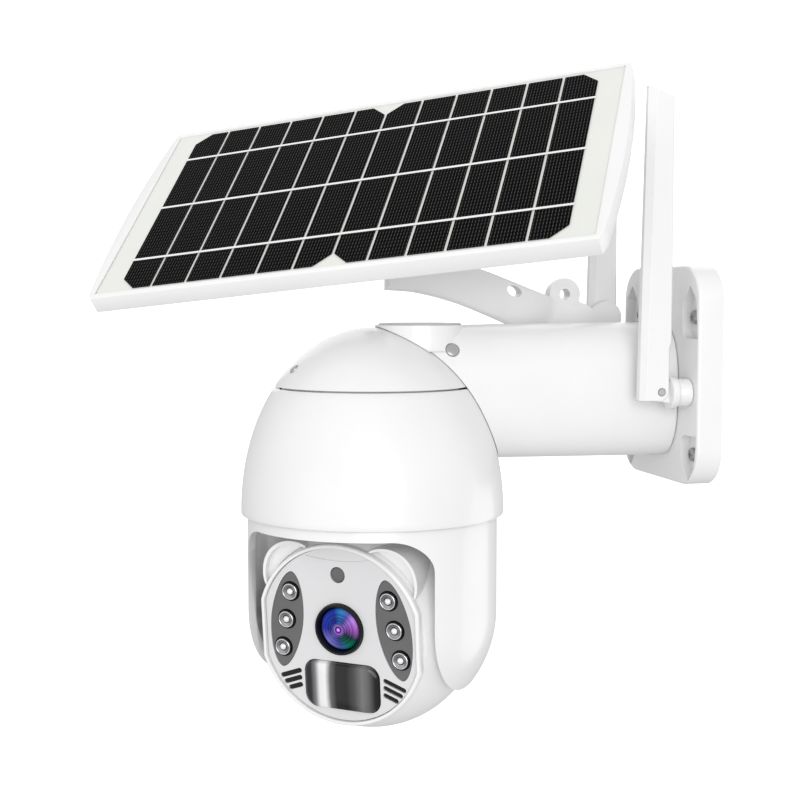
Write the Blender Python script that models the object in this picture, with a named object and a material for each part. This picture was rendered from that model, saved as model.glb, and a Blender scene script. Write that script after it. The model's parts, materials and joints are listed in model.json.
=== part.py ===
"""Solar-powered pan-and-tilt security camera, as an assembly of separate pieces.

The frame: the origin is where the arm's axis meets the wall, the wall is the plane y = 0, the camera
reaches out along -Y, and +Z is up. Lengths are in millimetres and are turned into metres by MM.
"""

from math import atan2, cos, degrees, pi, radians, sin, sqrt

import bmesh
import bpy
from mathutils import Matrix, Vector

MM = 0.001
GAP = 0.3  # clearance between pieces that touch

# Wall base
BASE_WIDTH = 104.0
BASE_BOTTOM = -52.0
BASE_TOP = 70.0
BASE_DEPTH = 15.0
BASE_CORNER = 20.0
WALL = 2.5  # wall thickness of the moulded housings
PLATE_THICKNESS = 2.0
POCKET_DEPTH = 5.5
POCKET_INNER_X = 31.0
POCKET_OUTER_X = 50.6
POCKETS = ((29.6, 59.6), (-24.0, -50.0))  # z of the square end and of the point
WALL_SCREW_X = 37.0
WALL_SCREWS_Z = (41.5, -35.0)

# Arm tube, an oval that runs along Y
TUBE_HALF_WIDTH = 28.0
TUBE_HALF_HEIGHT_WALL = 38.4
TUBE_HALF_HEIGHT_HEAD = 36.8
TUBE_SQUARENESS = 2.7
TUBE_START_Y = -BASE_DEPTH - GAP

# Dome: a turned shell round the pan axis
HEAD_Y = -185.0
NOSE_Y = HEAD_Y + 30.0  # where the arm starts to round off over the dome
DOME_RADIUS = 72.5
DOME_RIM_Z = -66.0
DOME_APEX_Z = 36.0
DOME_POWER = 2.1
SEAM_Z = 3.5
SEAM_GAP = 0.9
CAP_DISC_Y = HEAD_Y + 27.0
CAP_DISC_RADIUS = 23.0
CHASSIS_TOP = -50.0
CAP_WALL = 4.8
ARM_PLUG = ((24.2, -146.0, 24.0), (0.91, 0.0, 0.42))  # place and outward direction
DOME_PLUG = ((8.7, -45.0, 14.0), (0.14, -0.73, 0.67))

# Yoke that turns under the dome
PAN_REST = 51.0  # degrees from -Y towards +X
YOKE_RADIUS = 69.0
YOKE_WALL = 4.2
YOKE_DECK_TOP = -56.0
YOKE_DECK_BOTTOM = -60.0
YOKE_TAPER_Z = -120.0
YOKE_BOTTOM_Z = -187.0
OPENING_HALF_WIDTH = 56.0
OPENING_TOP_Z = -72.0
OPENING_CORNER = 17.0
HUB_RADIUS = 24.0
HUB_BORE = 11.0
HUB_TOP = -38.0

# Camera ball that tilts in the yoke
TILT_REST = 5.0  # degrees down
BALL_Z = -124.0
BALL_RADIUS = 61.5
FACE_DEPTH = 37.0  # distance from the ball's centre to the face
FACE_RADIUS = 50.0
FACE_FLAT = 47.4
BEZEL_WIDTH = 2.2
BEZEL_HEIGHT = 4.2
LENS_HEIGHT = 3.3
LENS_BEZEL_RADIUS = 14.3
LENS_RADIUS = 11.6
SENSOR_HEIGHT = 33.0
SENSOR_RADIUS = 4.4
LED_WINDOW = (32.2, 5.6, 10.0, 27.4, 9.0)  # x, z, half width, half height, lean in degrees
LEDS = ((29.4, 21.4), (32.5, 5.6), (35.4, -10.2))
LED_RADIUS = 5.3
PIR_Z = -28.4
PIR_SIZE = (45.0, 26.0)
PIR_CORNER = 7.0
FACE_PLATE = (-39.0, -36.8)  # front and back
SLOTS = ((31.3, -24.6, 13.4), (30.2, -28.2, 11.4), (28.8, -31.8, 8.8))  # x, z, length
SLOT_WIDTH = 2.1
SLOT_LEAN = -20.0

# Gears
PAN_GEAR = (36, 36.0)  # teeth, pitch radius
PAN_PINION = (9, 9.0)
TILT_GEAR = (30, 18.0)
TILT_PINION = (10, 6.0)

# Antennas
ANTENNA_X = 40.0
SOCKET_RADIUS = 7.6
SOCKET_LENGTH = 7.7
COLLAR_RADIUS = 9.0
PIN_Y = -32.5
BLADE_BACK_Y = -26.6
BLADE_FRONT_Y = (-44.6, -41.0)  # at the foot and at the tip
BLADE_HEIGHT = (-4.1, 160.5, 166.5)  # foot, back of the tip, front of the tip

# Solar panel and its bracket
PANEL_LENGTH = 290.0
PANEL_WIDTH = 160.0
PANEL_THICKNESS = 11.0
PANEL_BULGE = 4.8  # the short ends bow out by this much
PANEL_CENTRE = (-16.0, -188.0, 118.0)  # middle of the top face
PANEL_YAW = 56.0
PANEL_TILT = 40.4
PANEL_ROLL = 5.8
PANEL_OFFSET = 26.0  # from the hinge pin to the top face
RIM_WIDTH = (3.2, 3.2)  # at the short ends and along the long edges
CELL_MARGIN = (17.0, 5.5)
CELL_CHAMFER = 9.0
FOOT_CENTRE = (-56.0, 33.0)  # y, z
FOOT_X = -35.5
FOOT_THICKNESS = 5.0
EAR_REACH = 22.0
EAR_RADIUS = 9.5
EAR_ANGLES = (105.0, 20.0, -75.0)
SADDLE_X = (-41.0, -35.8)
SADDLE_Y = (-78.0, -44.6)
SADDLE_Z = (-30.0, -1.0)
SADDLE_SCREWS_Y = (-70.0, -52.0)
SADDLE_SCREW_Z = -15.0
FOOT_SCREW = (-63.0, 24.0)
PAD_X = -33.0
ARM_HEIGHT = (27.0, 20.0)
ARM_X = (-35.5, -25.0)
ARM_PATH = ((-58.0, 34.0), (-72.0, 39.5), (-86.0, 45.0), (-122.0, 59.0), (-150.0, 65.5), (-170.0, 66.5))


# ---------------------------------------------------------------- shapes

def arc(centre, radius, start, end, steps):
    """Points on an arc, in degrees, both ends included."""
    turn = [radians(start + (end - start) * i / steps) for i in range(steps + 1)]
    return [(centre[0] + radius * cos(t), centre[1] + radius * sin(t)) for t in turn]


def circle(radius, steps=32, centre=(0.0, 0.0)):
    return arc(centre, radius, 0.0, 360.0 - 360.0 / steps, steps - 1)


def rounded_box(width, height, corner, steps=6, centre=(0.0, 0.0)):
    u, v = width / 2 - corner, height / 2 - corner
    points = []
    for i, (su, sv) in enumerate(((1, 1), (-1, 1), (-1, -1), (1, -1))):
        middle = (centre[0] + su * u, centre[1] + sv * v)
        points += arc(middle, corner, 90.0 * i, 90.0 * i + 90.0, steps)
    return points


def oval(half_width, half_height, power, steps=48):
    points = []
    for i in range(steps):
        t = 2 * pi * i / steps
        c, s = cos(t), sin(t)
        points.append((half_width * abs(c) ** (2 / power) * (1 if c >= 0 else -1),
                       half_height * abs(s) ** (2 / power) * (1 if s >= 0 else -1)))
    return points


def turned(points, degrees_turned, centre=(0.0, 0.0)):
    """The same outline turned in its plane and moved to a centre."""
    t = radians(degrees_turned)
    return [(centre[0] + u * cos(t) - v * sin(t), centre[1] + u * sin(t) + v * cos(t)) for u, v in points]


def place(point, level, axis):
    """An outline's point and a level along an axis, as a point in space."""
    u, v = point
    if axis == "x":
        return Vector((level, u, v))
    if axis == "y":
        return Vector((u, level, v))
    return Vector((u, v, level))


def skin(rings):
    """A closed mesh over rings of equally many points."""
    mesh = bmesh.new()
    rows = [[mesh.verts.new(p) for p in ring] for ring in rings]
    for low, high in zip(rows, rows[1:]):
        for i in range(len(low)):
            j = (i + 1) % len(low)
            mesh.faces.new((low[i], low[j], high[j], high[i]))
    mesh.faces.new(rows[0])
    mesh.faces.new(rows[-1])
    bmesh.ops.recalc_face_normals(mesh, faces=mesh.faces)
    return mesh


def prism(outline, low, high, axis="z"):
    return skin([[place(p, level, axis) for p in outline] for level in (low, high)])


def stack(outlines, axis="z"):
    """A solid over (outline, level) pairs."""
    return skin([[place(p, level, axis) for p in outline] for outline, level in outlines])


def revolve(profile, steps=64, axis="z"):
    """A closed (radius, level) profile turned round an axis."""
    mesh = bmesh.new()
    rows = []
    for radius, level in profile:
        if radius < 1e-6:
            rows.append([mesh.verts.new(place((0.0, 0.0), level, axis))])
        else:
            rows.append([mesh.verts.new(place(p, level, axis)) for p in circle(radius, steps)])
    for a, b in zip(rows, rows[1:] + rows[:1]):
        for i in range(steps):
            j = (i + 1) % steps
            corners = [a[i % len(a)], a[j % len(a)], b[j % len(b)], b[i % len(b)]]
            unique = list(dict.fromkeys(corners))
            if len(unique) > 2:
                mesh.faces.new(unique)
    bmesh.ops.recalc_face_normals(mesh, faces=mesh.faces)
    return mesh


def gear_outline(teeth, pitch_radius, phase=0.0):
    """A spur gear's outer outline, with some backlash."""
    module = 2 * pitch_radius / teeth
    tip, root = pitch_radius + 0.75 * module, pitch_radius - 1.05 * module
    points = []
    for i in range(teeth):
        middle = phase + 360.0 * i / teeth
        step = 360.0 / teeth
        for radius, offset in ((root, -0.30), (tip, -0.12), (tip, 0.12), (root, 0.30)):
            t = radians(middle + offset * step)
            points.append((radius * cos(t), radius * sin(t)))
    return points


def moved(mesh, matrix):
    bmesh.ops.transform(mesh, matrix=matrix, verts=mesh.verts)
    return mesh


def aim(point, normal):
    """A frame at a point with its Z along a normal."""
    return Matrix.Translation(Vector(point)) @ Vector(normal).to_track_quat("Z", "Y").to_matrix().to_4x4()


# ---------------------------------------------------------------- scene helpers

def clear_scene():
    for obj in list(bpy.data.objects):
        bpy.data.objects.remove(obj, do_unlink=True)


def material(name, colour, roughness, metallic=0.0, transmission=0.0):
    made = bpy.data.materials.new(name)
    made.use_nodes = True
    shader = made.node_tree.nodes["Principled BSDF"]
    shader.inputs["Base Color"].default_value = (*colour, 1.0)
    shader.inputs["Roughness"].default_value = roughness
    shader.inputs["Metallic"].default_value = metallic
    shader.inputs["Transmission Weight"].default_value = transmission
    return made


def frame_empty(name, location, matrix=None, parent=None):
    """An empty that holds a moving body's frame; its location is in millimetres."""
    empty = bpy.data.objects.new(name, None)
    bpy.context.scene.collection.objects.link(empty)
    turn = matrix.to_4x4() if matrix else Matrix.Identity(4)
    empty.matrix_local = Matrix.Translation(Vector(location) * MM) @ turn
    empty.parent = parent
    return empty


def add(name, mesh, mat, parent=None, sharp=35.0):
    """A named object from a bmesh in millimetres."""
    bmesh.ops.triangulate(mesh, faces=[face for face in mesh.faces if len(face.verts) > 4])
    bmesh.ops.scale(mesh, vec=(MM, MM, MM), verts=mesh.verts)
    data = bpy.data.meshes.new(name)
    mesh.to_mesh(data)
    mesh.free()
    data.materials.append(mat)
    data.shade_smooth()
    data.set_sharp_from_angle(angle=radians(sharp))
    obj = bpy.data.objects.new(name, data)
    bpy.context.scene.collection.objects.link(obj)
    obj.parent = parent
    return obj


def combine(obj, mesh, operation="DIFFERENCE"):
    """Cuts a shape out of an object, or joins it on."""
    tool = add("tool_" + obj.name + str(len(obj.modifiers)), mesh, obj.data.materials[0], obj.parent)
    tool.hide_render = True
    tool.display_type = "WIRE"
    step = obj.modifiers.new(operation.title(), "BOOLEAN")
    step.operation = operation
    step.solver = "EXACT"
    step.object = tool
    return obj


# ---------------------------------------------------------------- wall base

BASE_MIDDLE = (0.0, (BASE_TOP + BASE_BOTTOM) / 2)


def base_outline(inset):
    height = BASE_TOP - BASE_BOTTOM - 2 * inset
    return rounded_box(BASE_WIDTH - 2 * inset, height, BASE_CORNER - inset, 5, BASE_MIDDLE)


def pocket_outline(side, flat, tip):
    """A screw pocket beside the base's edge: square at one end and pointed at the other."""
    way = 1 if tip > flat else -1
    outer = POCKET_OUTER_X - POCKET_INNER_X
    square = ((outer, 0.0), (6.0, 0.0), (2.0, 1.6), (0.0, 6.0))
    pointed = ((0.0, -13.0), (2.0, -7.0), (5.2, -2.4), (9.0, 0.0), (12.0, -1.8), (outer, -8.4))
    points = [(POCKET_INNER_X + across, flat + way * along) for across, along in square]
    points += [(POCKET_INNER_X + across, tip + way * along) for across, along in pointed]
    return [(side * x, z) for x, z in points]


def make_base(mats):
    plate = add("wall_plate", prism(base_outline(4.0), -PLATE_THICKNESS, 0.0, "y"), mats["steel"])
    front = -BASE_DEPTH
    back = -PLATE_THICKNESS - GAP
    cavity = rounded_box(2 * POCKET_INNER_X - 4 * WALL, BASE_TOP - BASE_BOTTOM - 4 * WALL, 12.0, 5, BASE_MIDDLE)
    seat = base_outline(4.0 - GAP)
    edge = 1.6
    outlines = [(cavity, front + WALL), (cavity, back), (seat, back), (seat, -0.1), (base_outline(0.0), -0.1)]
    for turn in (0, 45, 90):
        inset = edge * (1 - cos(radians(turn)))
        outlines.append((base_outline(inset), front + edge - edge * sin(radians(turn))))
    housing = add("base_housing", stack(outlines, "y"), mats["white"])
    for side in (-1, 1):
        for flat, tip in POCKETS:
            pocket = pocket_outline(side, flat, tip)
            combine(housing, prism(pocket, front - 5.0, front + POCKET_DEPTH, "y"))
        combine(housing, prism(circle(3.6, 20, (side * ANTENNA_X, 0.0)), front - 5.0, 0.0, "y"))
        for z in WALL_SCREWS_Z:
            hole = circle(2.6, 20, (side * WALL_SCREW_X, z))
            combine(housing, prism(hole, front - 5.0, 0.0, "y"))
            combine(plate, prism(hole, -5.0, 3.0, "y"))
    combine(housing, prism(circle(12.0, 20), front - 5.0, 0.0, "y"))
    spots = [(side * WALL_SCREW_X, z) for side in (-1, 1) for z in WALL_SCREWS_Z]
    for number, (x, z) in enumerate(spots, 1):
        floor = front + POCKET_DEPTH - GAP
        make_screw("wall_screw_%d" % number, mats["screw"], (x, z), floor, -1, 0.0, "y", 3.9, 2.2)


def make_screw(name, mat, centre, seat, outward, tip, axis, head, shank, parent=None):
    """A domed cross-head screw: its head sits on the seat and its shank ends at the tip level."""
    high = seat + outward * 2.4
    rows = [(circle(shank, 14, centre), tip), (circle(shank, 14, centre), seat),
            (circle(head, 14, centre), seat), (circle(head, 14, centre), seat + outward * 1.2),
            (circle(head * 0.86, 14, centre), seat + outward * 1.9),
            (circle(head * 0.5, 14, centre), high)]
    screw = add(name, stack(rows, axis), mat, parent)
    narrow, wide = 0.45, head * 0.55
    quarter = [(wide, narrow), (narrow, narrow), (narrow, wide), (-narrow, wide), (-narrow, narrow), (-wide, narrow)]
    cross = [(centre[0] + u, centre[1] + v) for u, v in quarter + [(-u, -v) for u, v in quarter]]
    ends = sorted((high + outward, high - outward * 1.1))
    combine(screw, prism(cross, ends[0], ends[1], axis))


# ---------------------------------------------------------------- arm tube and dome

def dome_radius(z, inset=0.0):
    """The dome's radius at a height, on its outside or on a surface inset from it."""
    shrink = 1.0 - inset / DOME_RADIUS
    t = max(0.0, (z - DOME_RIM_Z) / (DOME_APEX_Z - DOME_RIM_Z) / shrink)
    return DOME_RADIUS * shrink * sqrt(max(0.0, 1.0 - t ** DOME_POWER))


def dome_curve(low, inset, steps):
    """Points (radius, z) up the dome from a height to the top of the inset surface."""
    high = DOME_RIM_Z + (DOME_APEX_Z - DOME_RIM_Z) * (1.0 - inset / DOME_RADIUS)
    heights = [low + (high - low) * sin(pi / 2 * i / steps) for i in range(steps)]
    return [(dome_radius(z, inset), z) for z in heights] + [(0.0, high)]


def tube_outline(y, grow=0.0, steps=32):
    """The oval section of the arm at a place along it; its head end is rounded in plan and dips into the dome."""
    along = (TUBE_START_Y - y) / (TUBE_START_Y - HEAD_Y)
    half_height = TUBE_HALF_HEIGHT_WALL + (TUBE_HALF_HEIGHT_HEAD - TUBE_HALF_HEIGHT_WALL) * along
    into_nose = min(1.0, max(0.0, (NOSE_Y - y) / TUBE_HALF_WIDTH))
    nose = sqrt(1.0 - into_nose ** 2)
    half_width = max(4.0, TUBE_HALF_WIDTH * nose) + grow
    return oval(half_width, half_height * (0.93 + 0.07 * nose) + grow, TUBE_SQUARENESS, steps)


def tube_levels():
    nose = [NOSE_Y - TUBE_HALF_WIDTH * sin(radians(t)) for t in (0, 20, 38, 55, 70, 82)]
    return [TUBE_START_Y, TUBE_START_Y - 1.0, -60.0, -110.0] + nose


def make_arm(mats):
    outer = [(tube_outline(y, -1.0 if y == TUBE_START_Y else 0.0), y) for y in tube_levels()]
    tube = add("arm_tube", stack(outer, "y"), mats["white"])
    low, high = SADDLE_Z[0] + 2.0, SADDLE_Z[1] - 2.0
    pad = rounded_box(-PAD_X - 12.0, high - low, 3.0, 3, ((PAD_X - 12.0) / 2, (low + high) / 2))
    combine(tube, prism(pad, SADDLE_Y[0] + 2.0, SADDLE_Y[1] - 2.0, "y"), "UNION")
    centre = (0.0, CAP_DISC_Y)
    rim = DOME_APEX_Z + 1.2
    flare = ((3.6, 20.0), (3.2, 27.0), (2.4, 33.0), (1.8, rim))
    combine(tube, stack([(circle(CAP_DISC_RADIUS + r, 36, centre), z) for r, z in flare]), "UNION")
    combine(tube, prism(circle(CAP_DISC_RADIUS + GAP, 36, centre), rim - 0.7, rim + 10.0))
    inner = [(tube_outline(y, -WALL), y) for y in (TUBE_START_Y + 5.0, -60.0, -110.0, NOSE_Y)]
    combine(tube, stack(inner, "y"))
    space = revolve([(0.0, DOME_RIM_Z - 5.0)] + dome_curve(DOME_RIM_Z - 5.0, -GAP, 14), 48)
    combine(tube, moved(space, Matrix.Translation((0.0, HEAD_Y, 0.0))))
    for y in SADDLE_SCREWS_Y:
        combine(tube, prism(circle(1.9, 16, (y, SADDLE_SCREW_Z)), PAD_X - 5.0, PAD_X + 9.0, "x"))
    bottom = rim - 0.7 + GAP
    disc = [(circle(CAP_DISC_RADIUS, 36, centre), bottom),
            (circle(CAP_DISC_RADIUS, 36, centre), bottom + 0.8),
            (circle(CAP_DISC_RADIUS - 0.8, 36, centre), bottom + 1.4)]
    add("arm_end_cap", stack(disc), mats["grey"])
    make_plug("arm_plug", tube, ARM_PLUG, 3.7, mats["grey"])
    pack = rounded_box(38.0, 38.0, 5.0, 4, (0.0, -1.0))
    add("battery_pack", prism(pack, -106.0, -48.0, "y"), mats["blue"])


def make_plug(name, shell, spot, radius, mat):
    """A flush plug in a shell: its head fills a counterbore and its stem goes through the wall."""
    seat = aim(spot[0], spot[1])
    combine(shell, moved(prism(circle(radius + GAP, 24), -1.3, 6.0), seat))
    combine(shell, moved(prism(circle(1.8 + GAP, 16), -8.0, 0.0), seat))
    rows = [(circle(1.8, 16), -6.0), (circle(1.8, 16), -1.0), (circle(radius, 16), -1.0),
            (circle(radius, 16), 0.3), (circle(radius * 0.8, 16), 0.9)]
    add(name, moved(stack(rows), seat), mat, shell.parent)


def make_dome(mats, head):
    low, high = SEAM_Z - SEAM_GAP / 2, SEAM_Z + SEAM_GAP / 2
    lip = SEAM_Z - 5.5
    profile = [(dome_radius(lip, WALL + 1.0), lip), (dome_radius(high, WALL + 1.0), high)]
    profile += dome_curve(high, 0.0, 9)
    profile += dome_curve(lip, CAP_WALL, 5)[::-1]
    cap = add("dome_cap", revolve(profile, 40), mats["white"], head)
    make_plug("dome_plug", cap, DOME_PLUG, 2.7, mats["grey"])
    heights = [DOME_RIM_Z + 0.8 + (low - DOME_RIM_Z - 0.8) * i / 4 for i in range(5)]
    profile = [(DOME_RADIUS - 0.8, DOME_RIM_Z)] + [(dome_radius(z), z) for z in heights]
    profile += [(dome_radius(z, WALL), z) for z in heights[::-1]]
    profile += [(DOME_RADIUS - WALL, DOME_RIM_Z)]
    skirt = add("dome_skirt", revolve(profile, 40), mats["white"], head)
    combine(skirt, prism(circle(9.0, 20, (0.0, -14.0)), 50.0, 90.0, "y"))

    ring = ((HUB_RADIUS + 1.2, CHASSIS_TOP - 3.0), (68.5, CHASSIS_TOP - 3.0), (68.5, CHASSIS_TOP),
            (HUB_RADIUS + 1.2, CHASSIS_TOP))
    chassis = add("chassis_plate", revolve(ring, 32), mats["steel"], head)
    board_z = -12.0
    for spot in turned_spots(44.0, (90.0, 210.0, 330.0)):
        combine(chassis, prism(circle(3.0, 12, spot), CHASSIS_TOP - 1.0, board_z - GAP), "UNION")
    add("main_board", prism(circle(50.0, 32), board_z, board_z + 1.6), mats["board"], head)
    race = ((HUB_RADIUS + 0.4, -49.7), (33.0, -49.7), (33.0, -46.2), (HUB_RADIUS + 0.4, -46.2))
    add("pan_bearing", revolve(race, 28), mats["steel"], head)
    middle = (0.0, -PAN_GEAR[1] - PAN_PINION[1])
    motor = add("pan_motor", prism(circle(14.0, 28, middle), -37.0, board_z - GAP), mats["steel"], head)
    combine(motor, prism(circle(2.5, 12, middle), -40.0, -26.0))
    axis = frame_empty("pan_pinion_axis", (*middle, 0.0), parent=head)
    pinion = add("pan_pinion", prism(gear_outline(*PAN_PINION, 70.0), -46.0, -39.0), mats["brass"], axis, 25.0)
    combine(pinion, prism(circle(2.0, 12), -40.0, -28.0), "UNION")


def turned_spots(radius, angles):
    return [(radius * cos(radians(t)), radius * sin(radians(t))) for t in angles]


# ---------------------------------------------------------------- yoke

def make_yoke(mats, pan):
    outer = [(HUB_BORE, YOKE_DECK_BOTTOM), (HUB_BORE, HUB_TOP), (HUB_RADIUS, HUB_TOP), (HUB_RADIUS, YOKE_DECK_TOP)]
    outer += [(YOKE_RADIUS - 1.5, YOKE_DECK_TOP), (YOKE_RADIUS, YOKE_DECK_TOP - 1.5), (YOKE_RADIUS, YOKE_TAPER_Z)]
    drop = YOKE_TAPER_Z - YOKE_BOTTOM_Z
    inner_radius = YOKE_RADIUS - YOKE_WALL
    bends = (10, 20, 30, 39, 45)
    outer += [(YOKE_RADIUS * cos(radians(t)), YOKE_TAPER_Z - drop * sin(radians(t))) for t in bends]
    inner = [(inner_radius * cos(radians(t)), YOKE_TAPER_Z - (drop - YOKE_WALL) * sin(radians(t))) for t in bends]
    inner = inner[::-1] + [(inner_radius, YOKE_TAPER_Z), (inner_radius, YOKE_DECK_BOTTOM)]
    yoke = add("yoke", revolve(outer + inner, 44), mats["white"], pan)
    height = 160.0
    opening = rounded_box(2 * OPENING_HALF_WIDTH, height, OPENING_CORNER, 6, (0.0, OPENING_TOP_Z - height / 2))
    combine(yoke, prism(opening, -90.0, 90.0, "y"))

    phase = -90.0 - PAN_REST
    gear = add("pan_gear", prism(gear_outline(*PAN_GEAR, phase), -45.6, -40.6), mats["grey"], pan, 25.0)
    combine(gear, prism(circle(HUB_RADIUS + GAP, 40), -50.0, -35.0))

    centre = (0.0, BALL_Z)
    teeth = turned(gear_outline(*TILT_GEAR), TILT_REST, centre)
    gear = add("tilt_gear", prism(teeth, 36.0, 41.0, "x"), mats["brass"], pan, 25.0)
    combine(gear, prism(circle(6.0, 24, centre), 37.0, inner_radius - 1.4, "x"), "UNION")
    ring = add("tilt_pivot", prism(circle(6.0, 24, centre), -inner_radius + 1.4, -50.0, "x"), mats["steel"], pan)
    combine(ring, prism(circle(3.0, 16, centre), -70.0, -45.0, "x"))


# ---------------------------------------------------------------- camera ball

def face_outline(inset, steps=8):
    """The face's outline: a circle with a flat on each side."""
    radius = FACE_RADIUS - inset
    flat = FACE_FLAT - inset
    edge = degrees(atan2(sqrt(radius ** 2 - flat ** 2), flat))
    side = arc((0.0, 0.0), radius, edge, 180.0 - edge, 2 * steps)
    return side + [(-x, -z) for x, z in side]


def sphere_curve(radius, low, high, steps):
    """Points (radius, y) on a sphere between two places along Y."""
    first, last = (atan2(y, sqrt(radius ** 2 - y ** 2)) for y in (low, high))
    turns = [first + (last - first) * i / steps for i in range(steps + 1)]
    return [(radius * cos(t), radius * sin(t)) for t in turns]


def mirrored(outline):
    return [(-x, z) for x, z in outline[::-1]]


def led_window(side, inset):
    x, z, half_width, half_height, lean = LED_WINDOW
    window = turned(oval(half_width - inset, half_height - inset, 1.8, 28), lean, (x, z))
    return window if side > 0 else mirrored(window)


def slot(side, x, z, length, grow):
    bar = rounded_box(length + 2 * grow, SLOT_WIDTH + 2 * grow, SLOT_WIDTH / 2 + grow - 0.05, 3)
    bar = turned(bar, SLOT_LEAN, (x, z))
    return bar if side > 0 else mirrored(bar)


def make_ball(mats, ball):
    front = -FACE_DEPTH + 0.5
    shell = BALL_RADIUS - WALL
    for name, low, high in (("ball_front", front, -0.15), ("ball_rear", 0.15, 55.0)):
        profile = sphere_curve(BALL_RADIUS, low, high, 5) + sphere_curve(shell, low, high, 4)[::-1]
        if name == "ball_rear":
            cap = sphere_curve(BALL_RADIUS, low, BALL_RADIUS - 0.001, 9)[:-1] + [(0.0, BALL_RADIUS)]
            profile = cap + [(0.0, shell)] + sphere_curve(shell, low, shell - 0.001, 5)[-2::-1]
        half = add(name, revolve(profile, 40, "y"), mats["white"], ball)
        combine(half, prism(circle(7.6, 24), -90.0, 90.0, "x"))

    ring = add("face_bezel", prism(face_outline(0.0), -FACE_DEPTH + 0.2 - BEZEL_HEIGHT, -FACE_DEPTH + 0.2, "y"),
               mats["white"], ball)
    combine(ring, prism(face_outline(BEZEL_WIDTH), -60.0, -20.0, "y"))
    plate = add("face_plate", prism(face_outline(BEZEL_WIDTH + GAP), FACE_PLATE[0], FACE_PLATE[1], "y"),
                mats["silver"], ball)
    for hole in face_holes():
        combine(plate, prism(hole, -60.0, -20.0, "y"))
    brow = arc((0.0, 0.0), 46.4, 66.0, 114.0, 12) + arc((0.0, 140.0), 99.4, 260.0, 280.0, 12)
    combine(plate, prism(brow, FACE_PLATE[0] - 3.0, FACE_PLATE[0] + 0.6, "y"))

    for side, word in ((1, "right"), (-1, "left")):
        window = add("led_window_" + word, prism(led_window(side, GAP), -38.8, -37.0, "y"), mats["smoke"], ball)
        strip = turned(rounded_box(9.0, 46.0, 4.0, 4), LED_WINDOW[4], (LED_WINDOW[0], LED_WINDOW[1]))
        board = prism(strip if side > 0 else mirrored(strip), -35.6, -34.0, "y")
        board = add("led_board_" + word, board, mats["chrome"], ball)
        for x, z in LEDS:
            combine(window, prism(circle(LED_RADIUS + 0.2, 16, (side * x, z)), -60.0, -20.0, "y"))
            combine(board, prism(circle(LED_RADIUS - 0.1, 16, (side * x, z)), -39.2, -34.8, "y"), "UNION")
        back = rounded_box(9.0, 8.6, 2.6, 3, (side * 28.9, -27.4))
        grille = add("grille_" + word, prism(back, -36.75, -36.0, "y"), mats["black"], ball)
        for x, z, length in SLOTS:
            combine(grille, prism(slot(side, x, z, length, 0.0), -38.3, -36.65, "y"), "UNION")
        add("visor_" + word, visor(side), mats["white"], ball)
        combine(bpy.data.objects["visor_" + word], revolve(sphere_profile(BALL_RADIUS + GAP), 56, "y"))

    add("light_sensor", prism(circle(SENSOR_RADIUS - GAP, 20, (0.0, SENSOR_HEIGHT)), -38.8, -35.0, "y"),
        mats["black"], ball)
    centre = (0.0, LENS_HEIGHT)
    rows = [(circle(r, 28, centre), y) for r, y in ((14.0, -30.0), (14.0, -40.9), (13.4, -41.5))]
    ring = add("lens_bezel", stack(rows, "y"), mats["black"], ball)
    combine(ring, prism(circle(LENS_RADIUS + GAP, 28, centre), -60.0, -20.0, "y"))
    rows = ((8.0, -12.0), (11.4, -14.0), (11.4, -36.0), (9.8, -36.0), (4.0, -28.0))
    add("lens_barrel", stack([(circle(r, 24, centre), y) for r, y in rows], "y"), mats["black"], ball)
    rows = ((11.6, -36.5), (11.6, -37.6), (10.8, -38.6), (8.8, -39.7), (5.6, -40.5), (2.4, -40.8))
    add("lens_glass", stack([(circle(r, 28, centre), y) for r, y in rows], "y"), mats["glass"], ball)
    add("pir_lens", pir_dome(), mats["dark_glass"], ball)
    board = add("camera_board", prism(circle(38.0, 36), -28.6, -27.0, "y"), mats["board"], ball)
    combine(board, prism(circle(12.0, 24, centre), -40.0, -20.0, "y"))

    axis = (TILT_GEAR[1] + TILT_PINION[1], 0.0)
    motor = add("tilt_motor", prism(circle(12.0, 24, axis), 18.0, 35.7, "x"), mats["steel"], ball)
    combine(motor, prism(circle(2.0, 12, axis), 28.0, 40.0, "x"))
    turn = frame_empty("tilt_pinion_axis", (0.0, axis[0], axis[1]), parent=ball)
    pinion = add("tilt_pinion", prism(gear_outline(*TILT_PINION, 162.0), 36.2, 40.8, "x"), mats["brass"], turn, 25.0)
    combine(pinion, prism(circle(1.6, 12), 30.0, 37.0, "x"), "UNION")


def face_holes():
    """Outlines of the openings in the face plate."""
    holes = [circle(LENS_BEZEL_RADIUS, 28, (0.0, LENS_HEIGHT)), circle(SENSOR_RADIUS, 16, (0.0, SENSOR_HEIGHT)),
             rounded_box(PIR_SIZE[0] + 2 * GAP, PIR_SIZE[1] + 2 * GAP, PIR_CORNER + GAP, 4, (0.0, PIR_Z))]
    for side in (-1, 1):
        holes.append(led_window(side, 0.0))
        holes += [slot(side, x, z, length, GAP) for x, z, length in SLOTS]
    return holes


def pir_dome():
    """The motion sensor's lens: a cushion whose front curves from side to side."""
    width, height = PIR_SIZE
    rings = []
    rim = rounded_box(width, height, PIR_CORNER, 4)
    for scale, level in ((1.0, -35.8), (1.0, -39.4), (0.94, -40.0), (0.7, -40.0), (0.4, -40.0), (0.08, -40.0)):
        crown = 0.0 if level > -39.9 else 3.0
        ring = [(u * scale, v * scale) for u, v in rim]
        rings.append([Vector((u, level - crown * (1 - (2 * u / width) ** 2), v + PIR_Z)) for u, v in ring])
    return skin(rings)


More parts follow.
